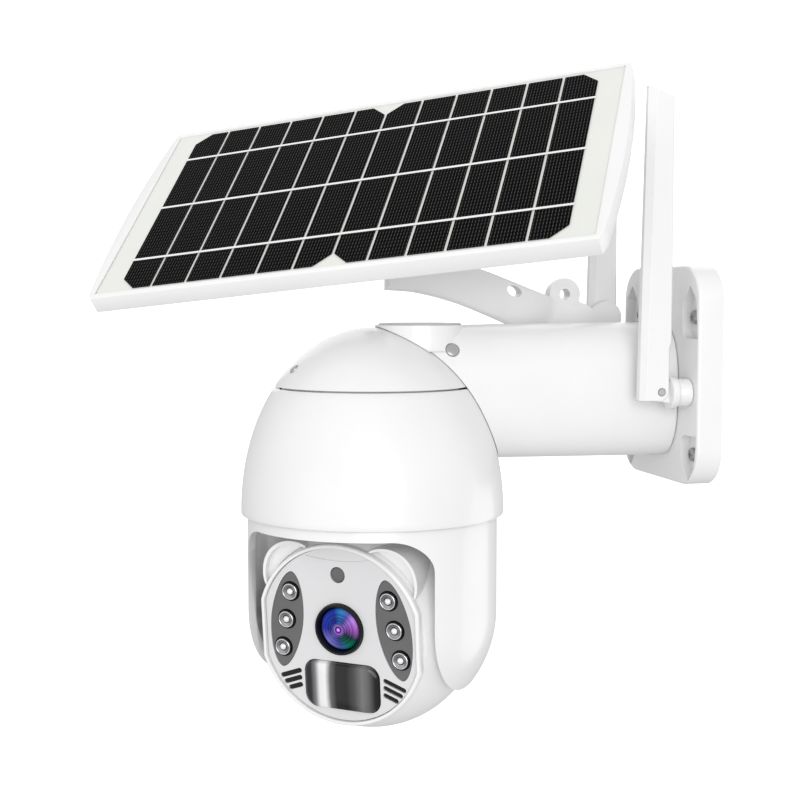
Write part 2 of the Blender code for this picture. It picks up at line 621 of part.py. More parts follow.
def visor(side):
    """An ear-shaped hood beside the top of the face."""
    first, last, steps = 28.0, 68.0, 16
    outline = []
    for i in range(steps + 1):
        t = radians(first + (last - first) * i / steps)
        reach = FACE_RADIUS + 0.8 + 9.4 * abs(sin(pi * i / steps)) ** 0.8
        outline.append((reach * cos(t), reach * sin(t)))
    outline += arc((0.0, 0.0), FACE_RADIUS + GAP, last, first, steps)
    return prism(outline if side > 0 else mirrored(outline), -38.5, -12.0, "y")


def sphere_profile(radius):
    turns = [radians(-90.0 + 180.0 * i / 28) for i in range(29)]
    return [(max(0.0, radius * cos(t)) if 0 < i < 28 else 0.0, radius * sin(t)) for i, t in enumerate(turns)]


# ---------------------------------------------------------------- antennas

def make_antenna(mats, side, word):
    x = side * ANTENNA_X
    face = -BASE_DEPTH - GAP
    nut = face - SOCKET_LENGTH
    core = [(circle(3.3, 20, (x, 0.0)), -8.0), (circle(3.3, 20, (x, 0.0)), face)]
    body = [(circle(SOCKET_RADIUS, 20, (x, 0.0)), face), (circle(SOCKET_RADIUS, 20, (x, 0.0)), nut + 1.0),
            (circle(SOCKET_RADIUS - 1.0, 20, (x, 0.0)), nut)]
    add("antenna_socket_" + word, stack(core + body, "y"), mats["white"])

    swivel = frame_empty("antenna_axis_" + word, (x, 0.0, 0.0))
    collar = [(circle(COLLAR_RADIUS - 0.8, 24), nut - GAP), (circle(COLLAR_RADIUS, 24), nut - GAP - 0.8),
              (circle(COLLAR_RADIUS, 24), nut - GAP - 4.0)]
    knuckle = add("antenna_knuckle_" + word, stack(collar, "y"), mats["white"], swivel)
    pin_z = 0.6
    tongue = [(PIN_Y, pin_z - 5.4), (-26.0, -5.6), (-26.0, 6.2), (PIN_Y, pin_z + 5.4)]
    combine(knuckle, prism(tongue + arc((PIN_Y, pin_z), 5.4, 100.0, 260.0, 8), -2.5, 2.5, "x"), "UNION")
    combine(knuckle, prism(circle(2.0, 20, (PIN_Y, pin_z)), -4.4, 4.4, "x"), "UNION")

    foot, back, front = BLADE_HEIGHT
    low_y, high_y = BLADE_FRONT_Y
    side_view = [(low_y, foot), (PIN_Y + 1.6, foot), (PIN_Y + 4.6, foot + 3.0), (-27.8, foot + 6.0),
                 (-27.8, 25.0), (BLADE_BACK_Y, 28.0), (BLADE_BACK_Y, back), (high_y, front)]
    blade = add("antenna_blade_" + word, blade_solid(side_view), mats["white"], swivel)
    combine(blade, prism(rounded_box(5.6, 34.0, 1.0, 2, (0.0, -9.0)), -39.2, -20.0, "y"))
    combine(blade, prism(circle(2.3, 20, (PIN_Y, pin_z)), -10.0, 10.0, "x"))


def blade_solid(side_view):
    """The blade from its side view: thinner at the tip, with a bevel round each broad face."""
    middle = Vector((sum(p[0] for p in side_view), sum(p[1] for p in side_view))) / len(side_view)
    rings = []
    for level, shrink in ((-1.0, 1.3), (-0.7, 0.0), (0.7, 0.0), (1.0, 1.3)):
        ring = []
        for y, z in side_view:
            half = 4.0 - 0.7 * max(0.0, z) / BLADE_HEIGHT[1]
            away = Vector((y, z)) - middle
            pull = Vector((min(1.0, max(-1.0, away.x / 4.0)), min(1.0, max(-1.0, away.y / 40.0)))) * shrink
            ring.append(Vector((level * half, y - pull.x, z - pull.y)))
        rings.append(ring)
    return skin(rings)


# ---------------------------------------------------------------- panel bracket

def ears():
    return [(FOOT_CENTRE[0] + EAR_REACH * cos(radians(t)), FOOT_CENTRE[1] + EAR_REACH * sin(radians(t)))
            for t in EAR_ANGLES]


def arm_rings():
    """Sections along the bracket's arm, each with a ridge on its near side."""
    rings = []
    count = len(ARM_PATH)
    for i, (y, z) in enumerate(ARM_PATH):
        before, after = ARM_PATH[max(0, i - 1)], ARM_PATH[min(count - 1, i + 1)]
        along = Vector((after[0] - before[0], after[1] - before[1])).normalized()
        up = Vector((along.y, -along.x))
        half = (ARM_HEIGHT[0] + (ARM_HEIGHT[1] - ARM_HEIGHT[0]) * i / (count - 1)) / 2
        near = ARM_X[1] if i > 1 else FOOT_X + FOOT_THICKNESS
        section = ((ARM_X[0], -half), (near - 1.2, -half), (near, -half + 1.2), (near + 1.6, 0.1 * half),
                   (near, half - 1.2), (near - 1.2, half), (ARM_X[0], half))
        rings.append([Vector((x, y + up.x * v, z + up.y * v)) for x, v in section])
    return rings


def make_bracket(mats, swivel_matrix):
    top, side, hidden = ears()
    plate = [(SADDLE_Y[1], SADDLE_Z[0]), (SADDLE_Y[1], 40.0), (top[0] + 8.6, top[1])]
    plate += arc(top, 8.6, 20.0, 160.0, 8) + [(SADDLE_Y[0], 30.0), (SADDLE_Y[0], SADDLE_Z[0])]
    saddle = add("panel_saddle", prism(plate, SADDLE_X[0], SADDLE_X[1], "x"), mats["white"])
    block = rounded_box(SADDLE_Y[1] - SADDLE_Y[0], SADDLE_Z[1] - SADDLE_Z[0], 2.0, 3,
                        (sum(SADDLE_Y) / 2, sum(SADDLE_Z) / 2))
    combine(saddle, prism(block, SADDLE_X[0] + 0.5, PAD_X - GAP, "x"), "UNION")
    combine(saddle, prism(circle(3.2, 20, top), -60.0, -20.0, "x"))
    for number, y in enumerate(SADDLE_SCREWS_Y, 1):
        spot = (y, SADDLE_SCREW_Z)
        combine(saddle, prism(circle(2.0, 16, spot), -60.0, -20.0, "x"))
        make_screw("saddle_screw_%d" % number, mats["screw"], spot, SADDLE_X[0] - GAP, -1, PAD_X + 7.0,
                   "x", 3.9, 1.6)

    foot = prism(circle(17.0, 28, FOOT_CENTRE), FOOT_X, FOOT_X + FOOT_THICKNESS, "x")
    bracket = add("bracket_arm", foot, mats["white"])
    for ear in (top, side, hidden):
        combine(bracket, prism(circle(EAR_RADIUS, 20, ear), FOOT_X, FOOT_X + FOOT_THICKNESS, "x"), "UNION")
    combine(bracket, skin(arm_rings()), "UNION")
    pad = stack([(circle(12.0, 32), -33.0), (circle(12.8, 32), -30.0), (circle(12.0, 32), -20.0)])
    combine(bracket, moved(pad, swivel_matrix), "UNION")
    combine(bracket, moved(prism(circle(4.5, 20), -40.0, -10.0), swivel_matrix))
    window = turned(oval(4.6, 3.0, 2.0, 20), -22.0, (-95.0, 56.0))
    combine(bracket, prism(window, -60.0, 0.0, "x"))
    combine(bracket, prism(circle(3.2, 20, top), -60.0, -20.0, "x"))
    for number, spot in enumerate((hidden, FOOT_SCREW), 1):
        seat = FOOT_X + 2.2
        combine(bracket, prism(circle(2.2, 16, spot), -60.0, seat + 1.0, "x"))
        combine(bracket, prism(circle(4.3, 20, spot), seat, 0.0, "x"))
        combine(saddle, prism(circle(2.2, 16, spot), -60.0, -20.0, "x"))
        make_screw("foot_screw_%d" % number, mats["screw"], spot, seat + GAP, 1, SADDLE_X[0] + 0.5, "x", 3.9, 1.8)


# ---------------------------------------------------------------- solar panel

def panel_outline(inset, steps=10):
    """The panel seen from above: straight long sides and bowed short ends."""
    half_length, half_width = PANEL_LENGTH / 2 - inset, PANEL_WIDTH / 2 - inset
    points = []
    for side in (1, -1):
        for i in range(steps + 1):
            t = -1.0 + 2.0 * i / steps
            corner = 1.4 * max(0.0, abs(t) - 0.985) / 0.015
            points.append((side * (half_length - corner + PANEL_BULGE * (1 - t * t)), side * t * half_width))
    return points


def make_panel(mats, swivel, tilt):
    rows = [(circle(4.2, 32), -31.5), (circle(4.2, 32), -19.7), (circle(11.2, 32), -19.7),
            (circle(12.0, 32), -18.6), (circle(12.0, 32), -15.2), (circle(11.0, 32), -14.0)]
    joint = add("panel_swivel", stack(rows), mats["white"], swivel)
    tongue = arc((0.0, 0.0), 6.0, 0.0, 180.0, 10) + [(-8.0, -15.0), (8.0, -15.0)]
    combine(joint, prism(tongue, -5.0, 5.0, "x"), "UNION")
    combine(joint, prism(circle(3.3, 20), -20.0, 20.0, "x"))
    bolt = [(circle(3.0, 24), -12.5), (circle(3.0, 24), 10.0), (circle(5.6, 24), 10.0), (circle(5.0, 24), 14.5)]
    add("hinge_bolt", stack(bolt, "x"), mats["steel"], swivel)

    top = PANEL_OFFSET
    bottom = top - PANEL_THICKNESS
    rim = [(panel_outline(0.8), bottom), (panel_outline(0.0), bottom + 0.8), (panel_outline(0.0), top - 0.8),
           (panel_outline(0.8), top)]
    frame = add("panel_frame", stack(rim), mats["rim"], tilt)
    recess = (PANEL_LENGTH - 2 * RIM_WIDTH[0], PANEL_WIDTH - 2 * RIM_WIDTH[1])
    combine(frame, prism(rounded_box(*recess, 1.0, 2), top - 2.6, top + 10.0))
    combine(frame, prism(rounded_box(recess[0] - 6.0, recess[1] - 4.0, 1.0, 2), bottom - 10.0, top))
    sheet = rounded_box(recess[0] - 2 * GAP, recess[1] - 2 * GAP, 0.8, 2)
    add("solar_laminate", prism(sheet, top - 2.3, top - 1.1), mats["backsheet"], tilt)
    half = (PANEL_LENGTH / 2 - CELL_MARGIN[0], PANEL_WIDTH / 2 - CELL_MARGIN[1])
    cut = CELL_CHAMFER
    cells = [(half[0], half[1] - cut), (half[0] - cut, half[1])]
    cells += [(-u, v) for u, v in cells[::-1]]
    cells += [(-u, -v) for u, v in cells]
    add("solar_cells", prism(cells, top - 0.8, top - 0.4), mats["cell"], tilt)

    back = [(panel_outline(3.0), bottom - GAP), (panel_outline(4.0), bottom - 1.4),
            (panel_outline(14.0), bottom - 3.4), (panel_outline(34.0), bottom - 4.4)]
    cover = add("panel_back_cover", stack(back), mats["white"], tilt)
    for side in (-1, 1):
        lug = arc((0.0, 0.0), 6.0, 180.0, 360.0, 10) + [(9.0, bottom - 3.0), (-9.0, bottom - 3.0)]
        ends = sorted((side * (5.0 + GAP), side * 9.6))
        combine(cover, prism(lug, ends[0], ends[1], "x"), "UNION")
    combine(cover, prism(circle(3.3, 20), -20.0, 20.0, "x"))
    box = rounded_box(62.0, 40.0, 5.0, 3, (-62.0, 0.0))
    combine(cover, prism(box, bottom - 10.0, bottom - 2.0), "UNION")


# ---------------------------------------------------------------- assembly

def panel_axes():
    """The swivel frame's matrix: X along the panel, Z up the swivel axis, origin on the hinge pin."""
    yaw, tilt, roll = radians(PANEL_YAW), radians(PANEL_TILT), radians(PANEL_ROLL)
    along = Vector((cos(yaw) * cos(roll), sin(yaw) * cos(roll), sin(roll)))
    up = Vector((-sin(roll) * cos(yaw), -sin(roll) * sin(yaw), cos(roll)))
    matrix = Matrix((along, up.cross(along), up)).transposed()
    normal = (matrix @ Matrix.Rotation(tilt, 3, "X")) @ Vector((0.0, 0.0, 1.0))
    pin = Vector(PANEL_CENTRE) - normal * PANEL_OFFSET
    return pin, matrix


def main():
    clear_scene()
    mats = {
        "white": material("white_plastic", (0.87, 0.88, 0.89), 0.25),
        "grey": material("grey_plastic", (0.45, 0.46, 0.48), 0.35),
        "black": material("black_plastic", (0.02, 0.02, 0.022), 0.35),
        "silver": material("face_plastic", (0.62, 0.63, 0.65), 0.35),
        "rim": material("frame_plastic", (0.76, 0.78, 0.78), 0.4),
        "backsheet": material("backsheet", (0.80, 0.81, 0.79), 0.4),
        "cell": material("solar_cell", (0.01, 0.01, 0.014), 0.2),
        "steel": material("steel", (0.55, 0.56, 0.58), 0.35, 1.0),
        "screw": material("screw_steel", (0.35, 0.35, 0.36), 0.35, 1.0),
        "chrome": material("chrome", (0.8, 0.8, 0.82), 0.1, 1.0),
        "brass": material("brass", (0.75, 0.58, 0.28), 0.35, 1.0),
        "board": material("circuit_board", (0.04, 0.22, 0.10), 0.5),
        "blue": material("battery_wrap", (0.06, 0.16, 0.42), 0.4),
        "smoke": material("smoked_window", (0.12, 0.12, 0.13), 0.15),
        "dark_glass": material("dark_glass", (0.02, 0.02, 0.03), 0.05),
        "glass": material("lens_glass", (0.25, 0.3, 0.6), 0.02, 0.0, 0.8),
    }
    head = frame_empty("head_axis", (0.0, HEAD_Y, 0.0))
    pan = frame_empty("pan_axis", (0.0, 0.0, 0.0), Matrix.Rotation(radians(PAN_REST), 3, "Z"), head)
    ball = frame_empty("tilt_axis", (0.0, 0.0, BALL_Z), Matrix.Rotation(radians(TILT_REST), 3, "X"), pan)
    pin, axes = panel_axes()
    swivel = frame_empty("panel_swivel_axis", pin, axes)
    tilt = frame_empty("panel_tilt_axis", (0.0, 0.0, 0.0), Matrix.Rotation(radians(PANEL_TILT), 3, "X"), swivel)
    make_base(mats)
    make_arm(mats)
    make_dome(mats, head)
    make_yoke(mats, pan)
    make_ball(mats, ball)
    make_antenna(mats, 1, "near")
    make_antenna(mats, -1, "far")
    make_bracket(mats, Matrix.Translation(pin) @ axes.to_4x4())
    make_panel(mats, swivel, tilt)


main()
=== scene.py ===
"""Solar-powered pan-and-tilt security camera: the looks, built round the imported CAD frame.

Lengths are in millimetres until a piece is made, and each piece is modelled in the frame of the
body it rides on: HEAD, PAN, BALL, SWIVEL or PANEL, or the row's own frame.
"""

import json
from math import atan2, cos, degrees, pi, radians, sin, sqrt

import bmesh
import bpy
from mathutils import Matrix, Vector


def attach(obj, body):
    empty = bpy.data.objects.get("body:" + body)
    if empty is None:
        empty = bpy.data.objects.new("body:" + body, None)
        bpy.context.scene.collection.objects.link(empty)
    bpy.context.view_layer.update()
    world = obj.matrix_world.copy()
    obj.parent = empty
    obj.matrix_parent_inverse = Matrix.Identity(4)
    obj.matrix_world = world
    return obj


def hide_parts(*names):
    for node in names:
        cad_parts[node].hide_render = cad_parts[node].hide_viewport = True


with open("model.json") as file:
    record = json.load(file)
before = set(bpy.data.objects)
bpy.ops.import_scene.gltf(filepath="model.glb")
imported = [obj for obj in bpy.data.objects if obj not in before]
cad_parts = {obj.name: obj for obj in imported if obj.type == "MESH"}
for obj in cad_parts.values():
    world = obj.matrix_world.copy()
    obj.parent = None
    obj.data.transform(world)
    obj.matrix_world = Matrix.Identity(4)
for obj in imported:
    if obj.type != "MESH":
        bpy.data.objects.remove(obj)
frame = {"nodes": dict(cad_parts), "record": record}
SLOTS_OF = {row["node"]: row["material_slot"] for row in frame["record"]["subparts"]}
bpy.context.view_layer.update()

MM = 0.001
GAP = 0.3  # clearance between pieces that touch

BASE_WIDTH, BASE_BOTTOM, BASE_TOP, BASE_DEPTH, BASE_CORNER = 104.0, -52.0, 70.0, 15.0, 20.0
WALL = 2.5
POCKET_INNER_X, POCKET_OUTER_X = 31.0, 50.6
POCKETS = ((29.6, 59.6), (-24.0, -50.0))  # z of the square end and of the point
WALL_SCREW_X = 37.0
WALL_SCREWS_Z = (41.5, -35.0)
TUBE_HALF_WIDTH = 28.0
TUBE_HALF_HEIGHTS = (38.4, 36.8)  # at the wall and at the head
TUBE_SQUARENESS = 2.7
TUBE_START_Y = -BASE_DEPTH - GAP
HEAD_Y = -185.0
NOSE_Y = HEAD_Y + 30.0
DOME_RADIUS, DOME_RIM_Z, DOME_APEX_Z, DOME_POWER = 72.5, -66.0, 36.0, 2.1
SEAM_Z, SEAM_GAP = 3.5, 0.9
CAP_DISC_Y, CAP_DISC_RADIUS = HEAD_Y + 27.0, 23.0
ARM_PLUG = ((24.2, -146.0, 24.0), (0.91, 0.0, 0.42))
DOME_PLUG = ((8.7, -45.0, 14.0), (0.14, -0.73, 0.67))
PAN_REST, TILT_REST = 51.0, 5.0
YOKE_RADIUS, YOKE_WALL = 69.0, 4.2
YOKE_DECK_TOP, YOKE_DECK_BOTTOM = -56.0, -60.0
YOKE_TAPER_Z, YOKE_BOTTOM_Z = -120.0, -187.0
OPENING_HALF_WIDTH, OPENING_TOP_Z, OPENING_CORNER = 56.0, -72.0, 17.0
HUB_RADIUS, HUB_BORE, HUB_TOP = 24.0, 11.0, -38.0
BALL_Z, BALL_RADIUS = -124.0, 61.5
FACE_DEPTH, FACE_RADIUS, FACE_FLAT, BEZEL_WIDTH = 37.0, 50.0, 47.4, 2.2
FACE_PLATE = (-39.0, -36.8)
LENS_HEIGHT, LENS_BEZEL_RADIUS, LENS_RADIUS = 3.3, 14.3, 11.6
SENSOR_HEIGHT, SENSOR_RADIUS = 33.0, 4.4
LED_WINDOW = (32.2, 5.6, 10.0, 27.4, 9.0)
LEDS = ((29.4, 21.4), (32.5, 5.6), (35.4, -10.2))
LED_RADIUS = 5.3
PIR_Z, PIR_SIZE, PIR_CORNER = -28.4, (45.0, 26.0), 7.0
SLOTS = ((31.3, -24.6, 13.4), (30.2, -28.2, 11.4), (28.8, -31.8, 8.8))
SLOT_WIDTH, SLOT_LEAN = 2.1, -20.0
ANTENNA_X, PIN_Y, PIN_Z = 40.0, -32.5, 0.6
SOCKET_RADIUS, SOCKET_LENGTH, COLLAR_RADIUS = 7.6, 7.7, 9.0
PANEL_LENGTH, PANEL_WIDTH, PANEL_THICKNESS, PANEL_BULGE = 290.0, 160.0, 11.0, 4.8
PANEL_CENTRE = (-16.0, -188.0, 118.0)
PANEL_YAW, PANEL_TILT, PANEL_ROLL, PANEL_OFFSET = 56.0, 40.4, 5.8, 26.0
RIM_WIDTH = (3.2, 3.2)
CELL_MARGIN, CELL_CHAMFER = (17.0, 5.5), 9.0
CELL_COLUMNS, CELL_GAP = 12, 1.6
FINGER_PITCH, DASH_PITCH = 1.76, 3.0
BUSBARS = (-0.327, 0.0, 0.327)  # fractions of the cells' width
FOOT_CENTRE, FOOT_X, FOOT_THICKNESS = (-56.0, 33.0), -35.5, 5.0
EAR_REACH, EAR_RADIUS, EAR_ANGLES = 22.0, 9.5, (105.0, 20.0, -75.0)
ARM_X = (-35.5, -25.0)
ARM_PATH = ((-58.0, 34.0), (-72.0, 39.5), (-86.0, 45.0), (-122.0, 59.0), (-150.0, 65.5), (-170.0, 66.5))
ARM_HEIGHT = (27.0, 20.0)


# ---------------------------------------------------------------- frames

def turn(angle, axis):
    return Matrix.Rotation(radians(angle), 4, axis)


def swivel_frame():
    yaw, tilt, roll = radians(PANEL_YAW), radians(PANEL_TILT), radians(PANEL_ROLL)
    along = Vector((cos(yaw) * cos(roll), sin(yaw) * cos(roll), sin(roll)))
    up = Vector((-sin(roll) * cos(yaw), -sin(roll) * sin(yaw), cos(roll)))
    axes = Matrix((along, up.cross(along), up)).transposed()
    normal = (axes @ Matrix.Rotation(tilt, 3, "X")) @ Vector((0.0, 0.0, 1.0))
    return Matrix.Translation(Vector(PANEL_CENTRE) - normal * PANEL_OFFSET) @ axes.to_4x4()


ROW = Matrix.Identity(4)
HEAD = Matrix.Translation((0.0, HEAD_Y, 0.0))
PAN = HEAD @ turn(PAN_REST, "Z")
BALL = PAN @ Matrix.Translation((0.0, 0.0, BALL_Z)) @ turn(TILT_REST, "X")
SWIVEL = swivel_frame()
PANEL = SWIVEL @ turn(PANEL_TILT, "X")


# ---------------------------------------------------------------- shapes

def arc(centre, radius, start, end, steps):
    turns = [radians(start + (end - start) * i / steps) for i in range(steps + 1)]
    return [(centre[0] + radius * cos(t), centre[1] + radius * sin(t)) for t in turns]


def circle(radius, steps=64, centre=(0.0, 0.0)):
    return arc(centre, radius, 0.0, 360.0 - 360.0 / steps, steps - 1)


def rounded_box(width, height, corner, steps=10, centre=(0.0, 0.0)):
    u, v = width / 2 - corner, height / 2 - corner
    points = []
    for i, (su, sv) in enumerate(((1, 1), (-1, 1), (-1, -1), (1, -1))):
        points += arc((centre[0] + su * u, centre[1] + sv * v), corner, 90.0 * i, 90.0 * i + 90.0, steps)
    return points


def oval(half_width, half_height, power, steps=96):
    points = []
    for i in range(steps):
        t = 2 * pi * i / steps
        c, s = cos(t), sin(t)
        points.append((half_width * abs(c) ** (2 / power) * (1 if c >= 0 else -1),
                       half_height * abs(s) ** (2 / power) * (1 if s >= 0 else -1)))
    return points


def turned(points, angle, centre=(0.0, 0.0)):
    t = radians(angle)
    return [(centre[0] + u * cos(t) - v * sin(t), centre[1] + u * sin(t) + v * cos(t)) for u, v in points]


def mirrored(outline):
    return [(-x, z) for x, z in outline[::-1]]


def place(point, level, axis):
    u, v = point
    if axis == "x":
        return Vector((level, u, v))
    if axis == "y":
        return Vector((u, level, v))
    return Vector((u, v, level))


def skin(rings):
    """A closed mesh over rings of equally many points."""
    mesh = bmesh.new()
    rows = [[mesh.verts.new(p) for p in ring] for ring in rings]
    for low, high in zip(rows, rows[1:]):
        for i in range(len(low)):
            j = (i + 1) % len(low)
            mesh.faces.new((low[i], low[j], high[j], high[i]))
    mesh.faces.new(rows[0])
    mesh.faces.new(rows[-1])
    bmesh.ops.recalc_face_normals(mesh, faces=mesh.faces)
    return mesh


def prism(outline, low, high, axis="z"):
    return skin([[place(p, level, axis) for p in outline] for level in (low, high)])


def stack(outlines, axis="z"):
    return skin([[place(p, level, axis) for p in outline] for outline, level in outlines])


def revolve(profile, steps=160, axis="z"):
    """A closed (radius, level) profile turned round an axis."""
    mesh = bmesh.new()
    rows = []
    for radius, level in profile:
        spots = [(0.0, 0.0)] if radius < 1e-6 else circle(radius, steps)
        rows.append([mesh.verts.new(place(p, level, axis)) for p in spots])
    for a, b in zip(rows, rows[1:] + rows[:1]):
        for i in range(steps):
            j = (i + 1) % steps
            corners = list(dict.fromkeys((a[i % len(a)], a[j % len(a)], b[j % len(b)], b[i % len(b)])))
            if len(corners) > 2:
                mesh.faces.new(corners)
    bmesh.ops.recalc_face_normals(mesh, faces=mesh.faces)
    return mesh


def moved(mesh, matrix):
    bmesh.ops.transform(mesh, matrix=matrix, verts=mesh.verts)
    return mesh


def aim(point, normal):
    return Matrix.Translation(Vector(point)) @ Vector(normal).to_track_quat("Z", "Y").to_matrix().to_4x4()


# ---------------------------------------------------------------- pieces

def raw(name, mesh, where=ROW):
    """An object from a bmesh in millimetres, in a body's frame."""
    bmesh.ops.scale(mesh, vec=(MM, MM, MM), verts=mesh.verts)
    data = bpy.data.meshes.new(name)
    mesh.to_mesh(data)
    mesh.free()
    obj = bpy.data.objects.new(name, data)
    bpy.context.scene.collection.objects.link(obj)
    obj.matrix_world = Matrix.Translation(where.to_translation() * MM) @ where.to_3x3().to_4x4()
    return obj


def carve(obj, mesh, operation="DIFFERENCE"):
    """Cuts a shape out of an object, or joins it on, for good."""
    tool = raw("tool", mesh)
    tool.matrix_world = obj.matrix_world
    step = obj.modifiers.new("carve", "BOOLEAN")
    step.operation = operation
    step.solver = "EXACT"
    step.object = tool
    graph = bpy.context.evaluated_depsgraph_get()
    made = bpy.data.meshes.new_from_object(obj.evaluated_get(graph))
    obj.modifiers.clear()
    obj.data = made
    bpy.data.objects.remove(tool)
    return obj


def dress(obj, mat, body, nodes=(), bevel=0.0, sharp=32.0, slot=None, local=False):
    """Shades a piece, bevels its edges, and lets it ride on a body in place of CAD nodes."""
    obj.data.materials.clear()
    obj.data.materials.append(mat)
    obj.data.shade_smooth()
    obj.data.set_sharp_from_angle(angle=radians(sharp))
    if bevel:
        edge = obj.modifiers.new("bevel", "BEVEL")
        edge.width = bevel * MM
        edge.segments = 3
        edge.limit_method = "ANGLE"
        edge.angle_limit = radians(sharp)
        edge.harden_normals = True
    if not local:
        obj.data.transform(obj.matrix_world)
        obj.matrix_world = Matrix.Identity(4)
    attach(obj, body)
    if nodes:
        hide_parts(*nodes)
    slot = slot or (SLOTS_OF[nodes[0]] if nodes else None)
    return obj


def keep(node, mat, bevel=0.0, sharp=32.0):
    """Shows a CAD node as it is, with its own finish and softened edges."""
    obj = frame["nodes"][node]
    obj.data.materials.clear()
    obj.data.materials.append(mat)
    obj.data.shade_smooth()
    obj.data.set_sharp_from_angle(angle=radians(sharp))
    if bevel:
        edge = obj.modifiers.new("bevel", "BEVEL")
        edge.width = bevel * MM
        edge.segments = 2
        edge.limit_method = "ANGLE"
        edge.angle_limit = radians(sharp)


# ---------------------------------------------------------------- materials

class Nodes:
    """A small helper that wires a material's nodes."""

    def __init__(self, name):
        self.mat = bpy.data.materials.new(name)
        self.mat.use_nodes = True
        self.tree = self.mat.node_tree
        self.shader = self.tree.nodes["Principled BSDF"]
        self.coords = self.tree.nodes.new("ShaderNodeTexCoord").outputs["Object"]

    def add(self, kind, **inputs):
        node = self.tree.nodes.new(kind)
        for key, value in inputs.items():
            self.feed(node, key.replace("_", " "), value)
        return node

    def feed(self, node, socket, value):
        """Links a socket into an input, or sets the input's own value."""
        target = node.inputs[socket]
        if isinstance(value, bpy.types.NodeSocket):
            self.tree.links.new(value, target)
        else:
            target.default_value = value

    def noise(self, scale, detail=3.0):
        return self.add("ShaderNodeTexNoise", Vector=self.coords, Scale=scale, Detail=detail).outputs["Fac"]

    def math(self, operation, a, b=0.0, c=None):
        node = self.tree.nodes.new("ShaderNodeMath")
        node.operation = operation
        for i, value in enumerate((a, b) if c is None else (a, b, c)):
            self.feed(node, i, value)
        return node.outputs[0]

    def ramp(self, fac, stops, interpolation="LINEAR"):
        node = self.tree.nodes.new("ShaderNodeValToRGB")
        node.color_ramp.interpolation = interpolation
        marks = node.color_ramp.elements
        while len(marks) < len(stops):
            marks.new(0.5)
        for mark, (position, colour) in zip(marks, stops):
            mark.position = position
            mark.color = (*colour, 1.0)
        self.feed(node, "Fac", fac)
        return node.outputs["Color"]

    def mix(self, fac, a, b):
        node = self.tree.nodes.new("ShaderNodeMix")
        node.data_type = "RGBA"
        self.feed(node, 0, fac)
        for socket, value in ((6, a), (7, b)):
            self.feed(node, socket, (*value, 1.0) if isinstance(value, tuple) else value)
        return node.outputs[2]

    def axes(self):
        return self.add("ShaderNodeSeparateXYZ", Vector=self.coords).outputs

    def finish(self, colour, roughness, metallic=0.0, coat=0.0, bump=0.0, bump_scale=900.0, shine=0.5):
        self.feed(self.shader, "Base Color", colour)
        self.feed(self.shader, "Roughness", roughness)
        self.feed(self.shader, "Metallic", metallic)
        self.feed(self.shader, "Coat Weight", coat)
        self.feed(self.shader, "Specular IOR Level", shine)
        if bump:
            node = self.add("ShaderNodeBump", Strength=bump, Distance=0.0002, Height=self.noise(bump_scale))
            self.feed(self.shader, "Normal", node.outputs["Normal"])
        return self.mat


def finish_of(name, colour, roughness, vary=0.03, metallic=0.0, coat=0.0, bump=0.03, scale=35.0, shine=0.5):
    """A moulded or metal finish whose tone and gloss drift a little over the surface."""
    made = Nodes(name)
    dark = tuple(c * (1.0 - vary) for c in colour)
    light = tuple(min(1.0, c * (1.0 + vary)) for c in colour)
    drift = made.noise(scale)
    tone = made.ramp(drift, ((0.3, dark), (0.7, light)))
    gloss = made.math("MULTIPLY_ADD", made.noise(scale * 3.0), roughness * 0.3, roughness * 0.85)
    return made.finish(tone, gloss, metallic, coat, bump, shine=shine)


def cell_finish():
    """Dark silicon with fine light fingers that run across each strip."""
    made = Nodes("solar_cell")
    x, y, _ = made.axes()
    across = made.math("FRACT", made.math("MULTIPLY", x, 1.0 / (FINGER_PITCH * MM)))
    finger = made.math("LESS_THAN", made.math("ABSOLUTE", made.math("SUBTRACT", across, 0.5)), 0.10)
    along = made.math("FRACT", made.math("MULTIPLY", y, 1.0 / (DASH_PITCH * MM)))
    dash = made.math("LESS_THAN", along, 0.72)
    lines = made.math("MULTIPLY", finger, dash)
    grain = made.noise(90.0, 6.0)
    silicon = made.ramp(grain, ((0.3, (0.0003, 0.0003, 0.0004)), (0.75, (0.0012, 0.0012, 0.0015))))
    colour = made.mix(lines, silicon, (0.075, 0.075, 0.075))
    return made.finish(colour, 0.5, shine=0.015)


# Painted reflections in the lens coating: colours round the lens by angle.
LENS_REFLECTION_SECTORS = (
    (0.0, (0.03, 0.04, 0.35)), (0.13, (0.22, 0.20, 0.62)), (0.25, (0.05, 0.10, 0.30)),
    (0.34, (0.0, 0.16, 0.08)), (0.42, (0.01, 0.05, 0.05)), (0.52, (0.40, 0.12, 0.50)),
    (0.60, (0.50, 0.22, 0.72)), (0.66, (0.10, 0.10, 0.40)), (0.73, (0.02, 0.22, 0.50)),
    (0.80, (0.01, 0.03, 0.28)), (0.92, (0.02, 0.05, 0.42)), (1.0, (0.03, 0.04, 0.35)))
# Painted reflections in the lens coating: dark and bright rings from the centre out, the bright ones painted
# highlights.
LENS_REFLECTION_RINGS = (
    (0.0, (0.80, 0.40, 0.95)), (0.07, (0.50, 0.15, 0.80)), (0.11, (0.02, 0.0, 0.08)),
    (0.17, (0.06, 0.02, 0.20)), (0.20, (0.35, 0.15, 0.70)), (0.25, (0.02, 0.01, 0.08)),
    (0.34, (0.25, 0.25, 0.35)), (0.37, (0.70, 0.70, 0.90)), (0.41, (0.12, 0.12, 0.20)),
    (0.50, (0.55, 0.55, 0.70)), (0.54, (0.20, 0.20, 0.30)), (0.64, (0.75, 0.75, 0.85)),
    (0.68, (0.35, 0.35, 0.45)), (0.82, (0.90, 0.90, 0.95)), (0.93, (0.85, 0.85, 0.95)),
    (1.0, (0.10, 0.10, 0.14)))
LENS_CORE = 0.3  # share of the radius that shows the rings alone


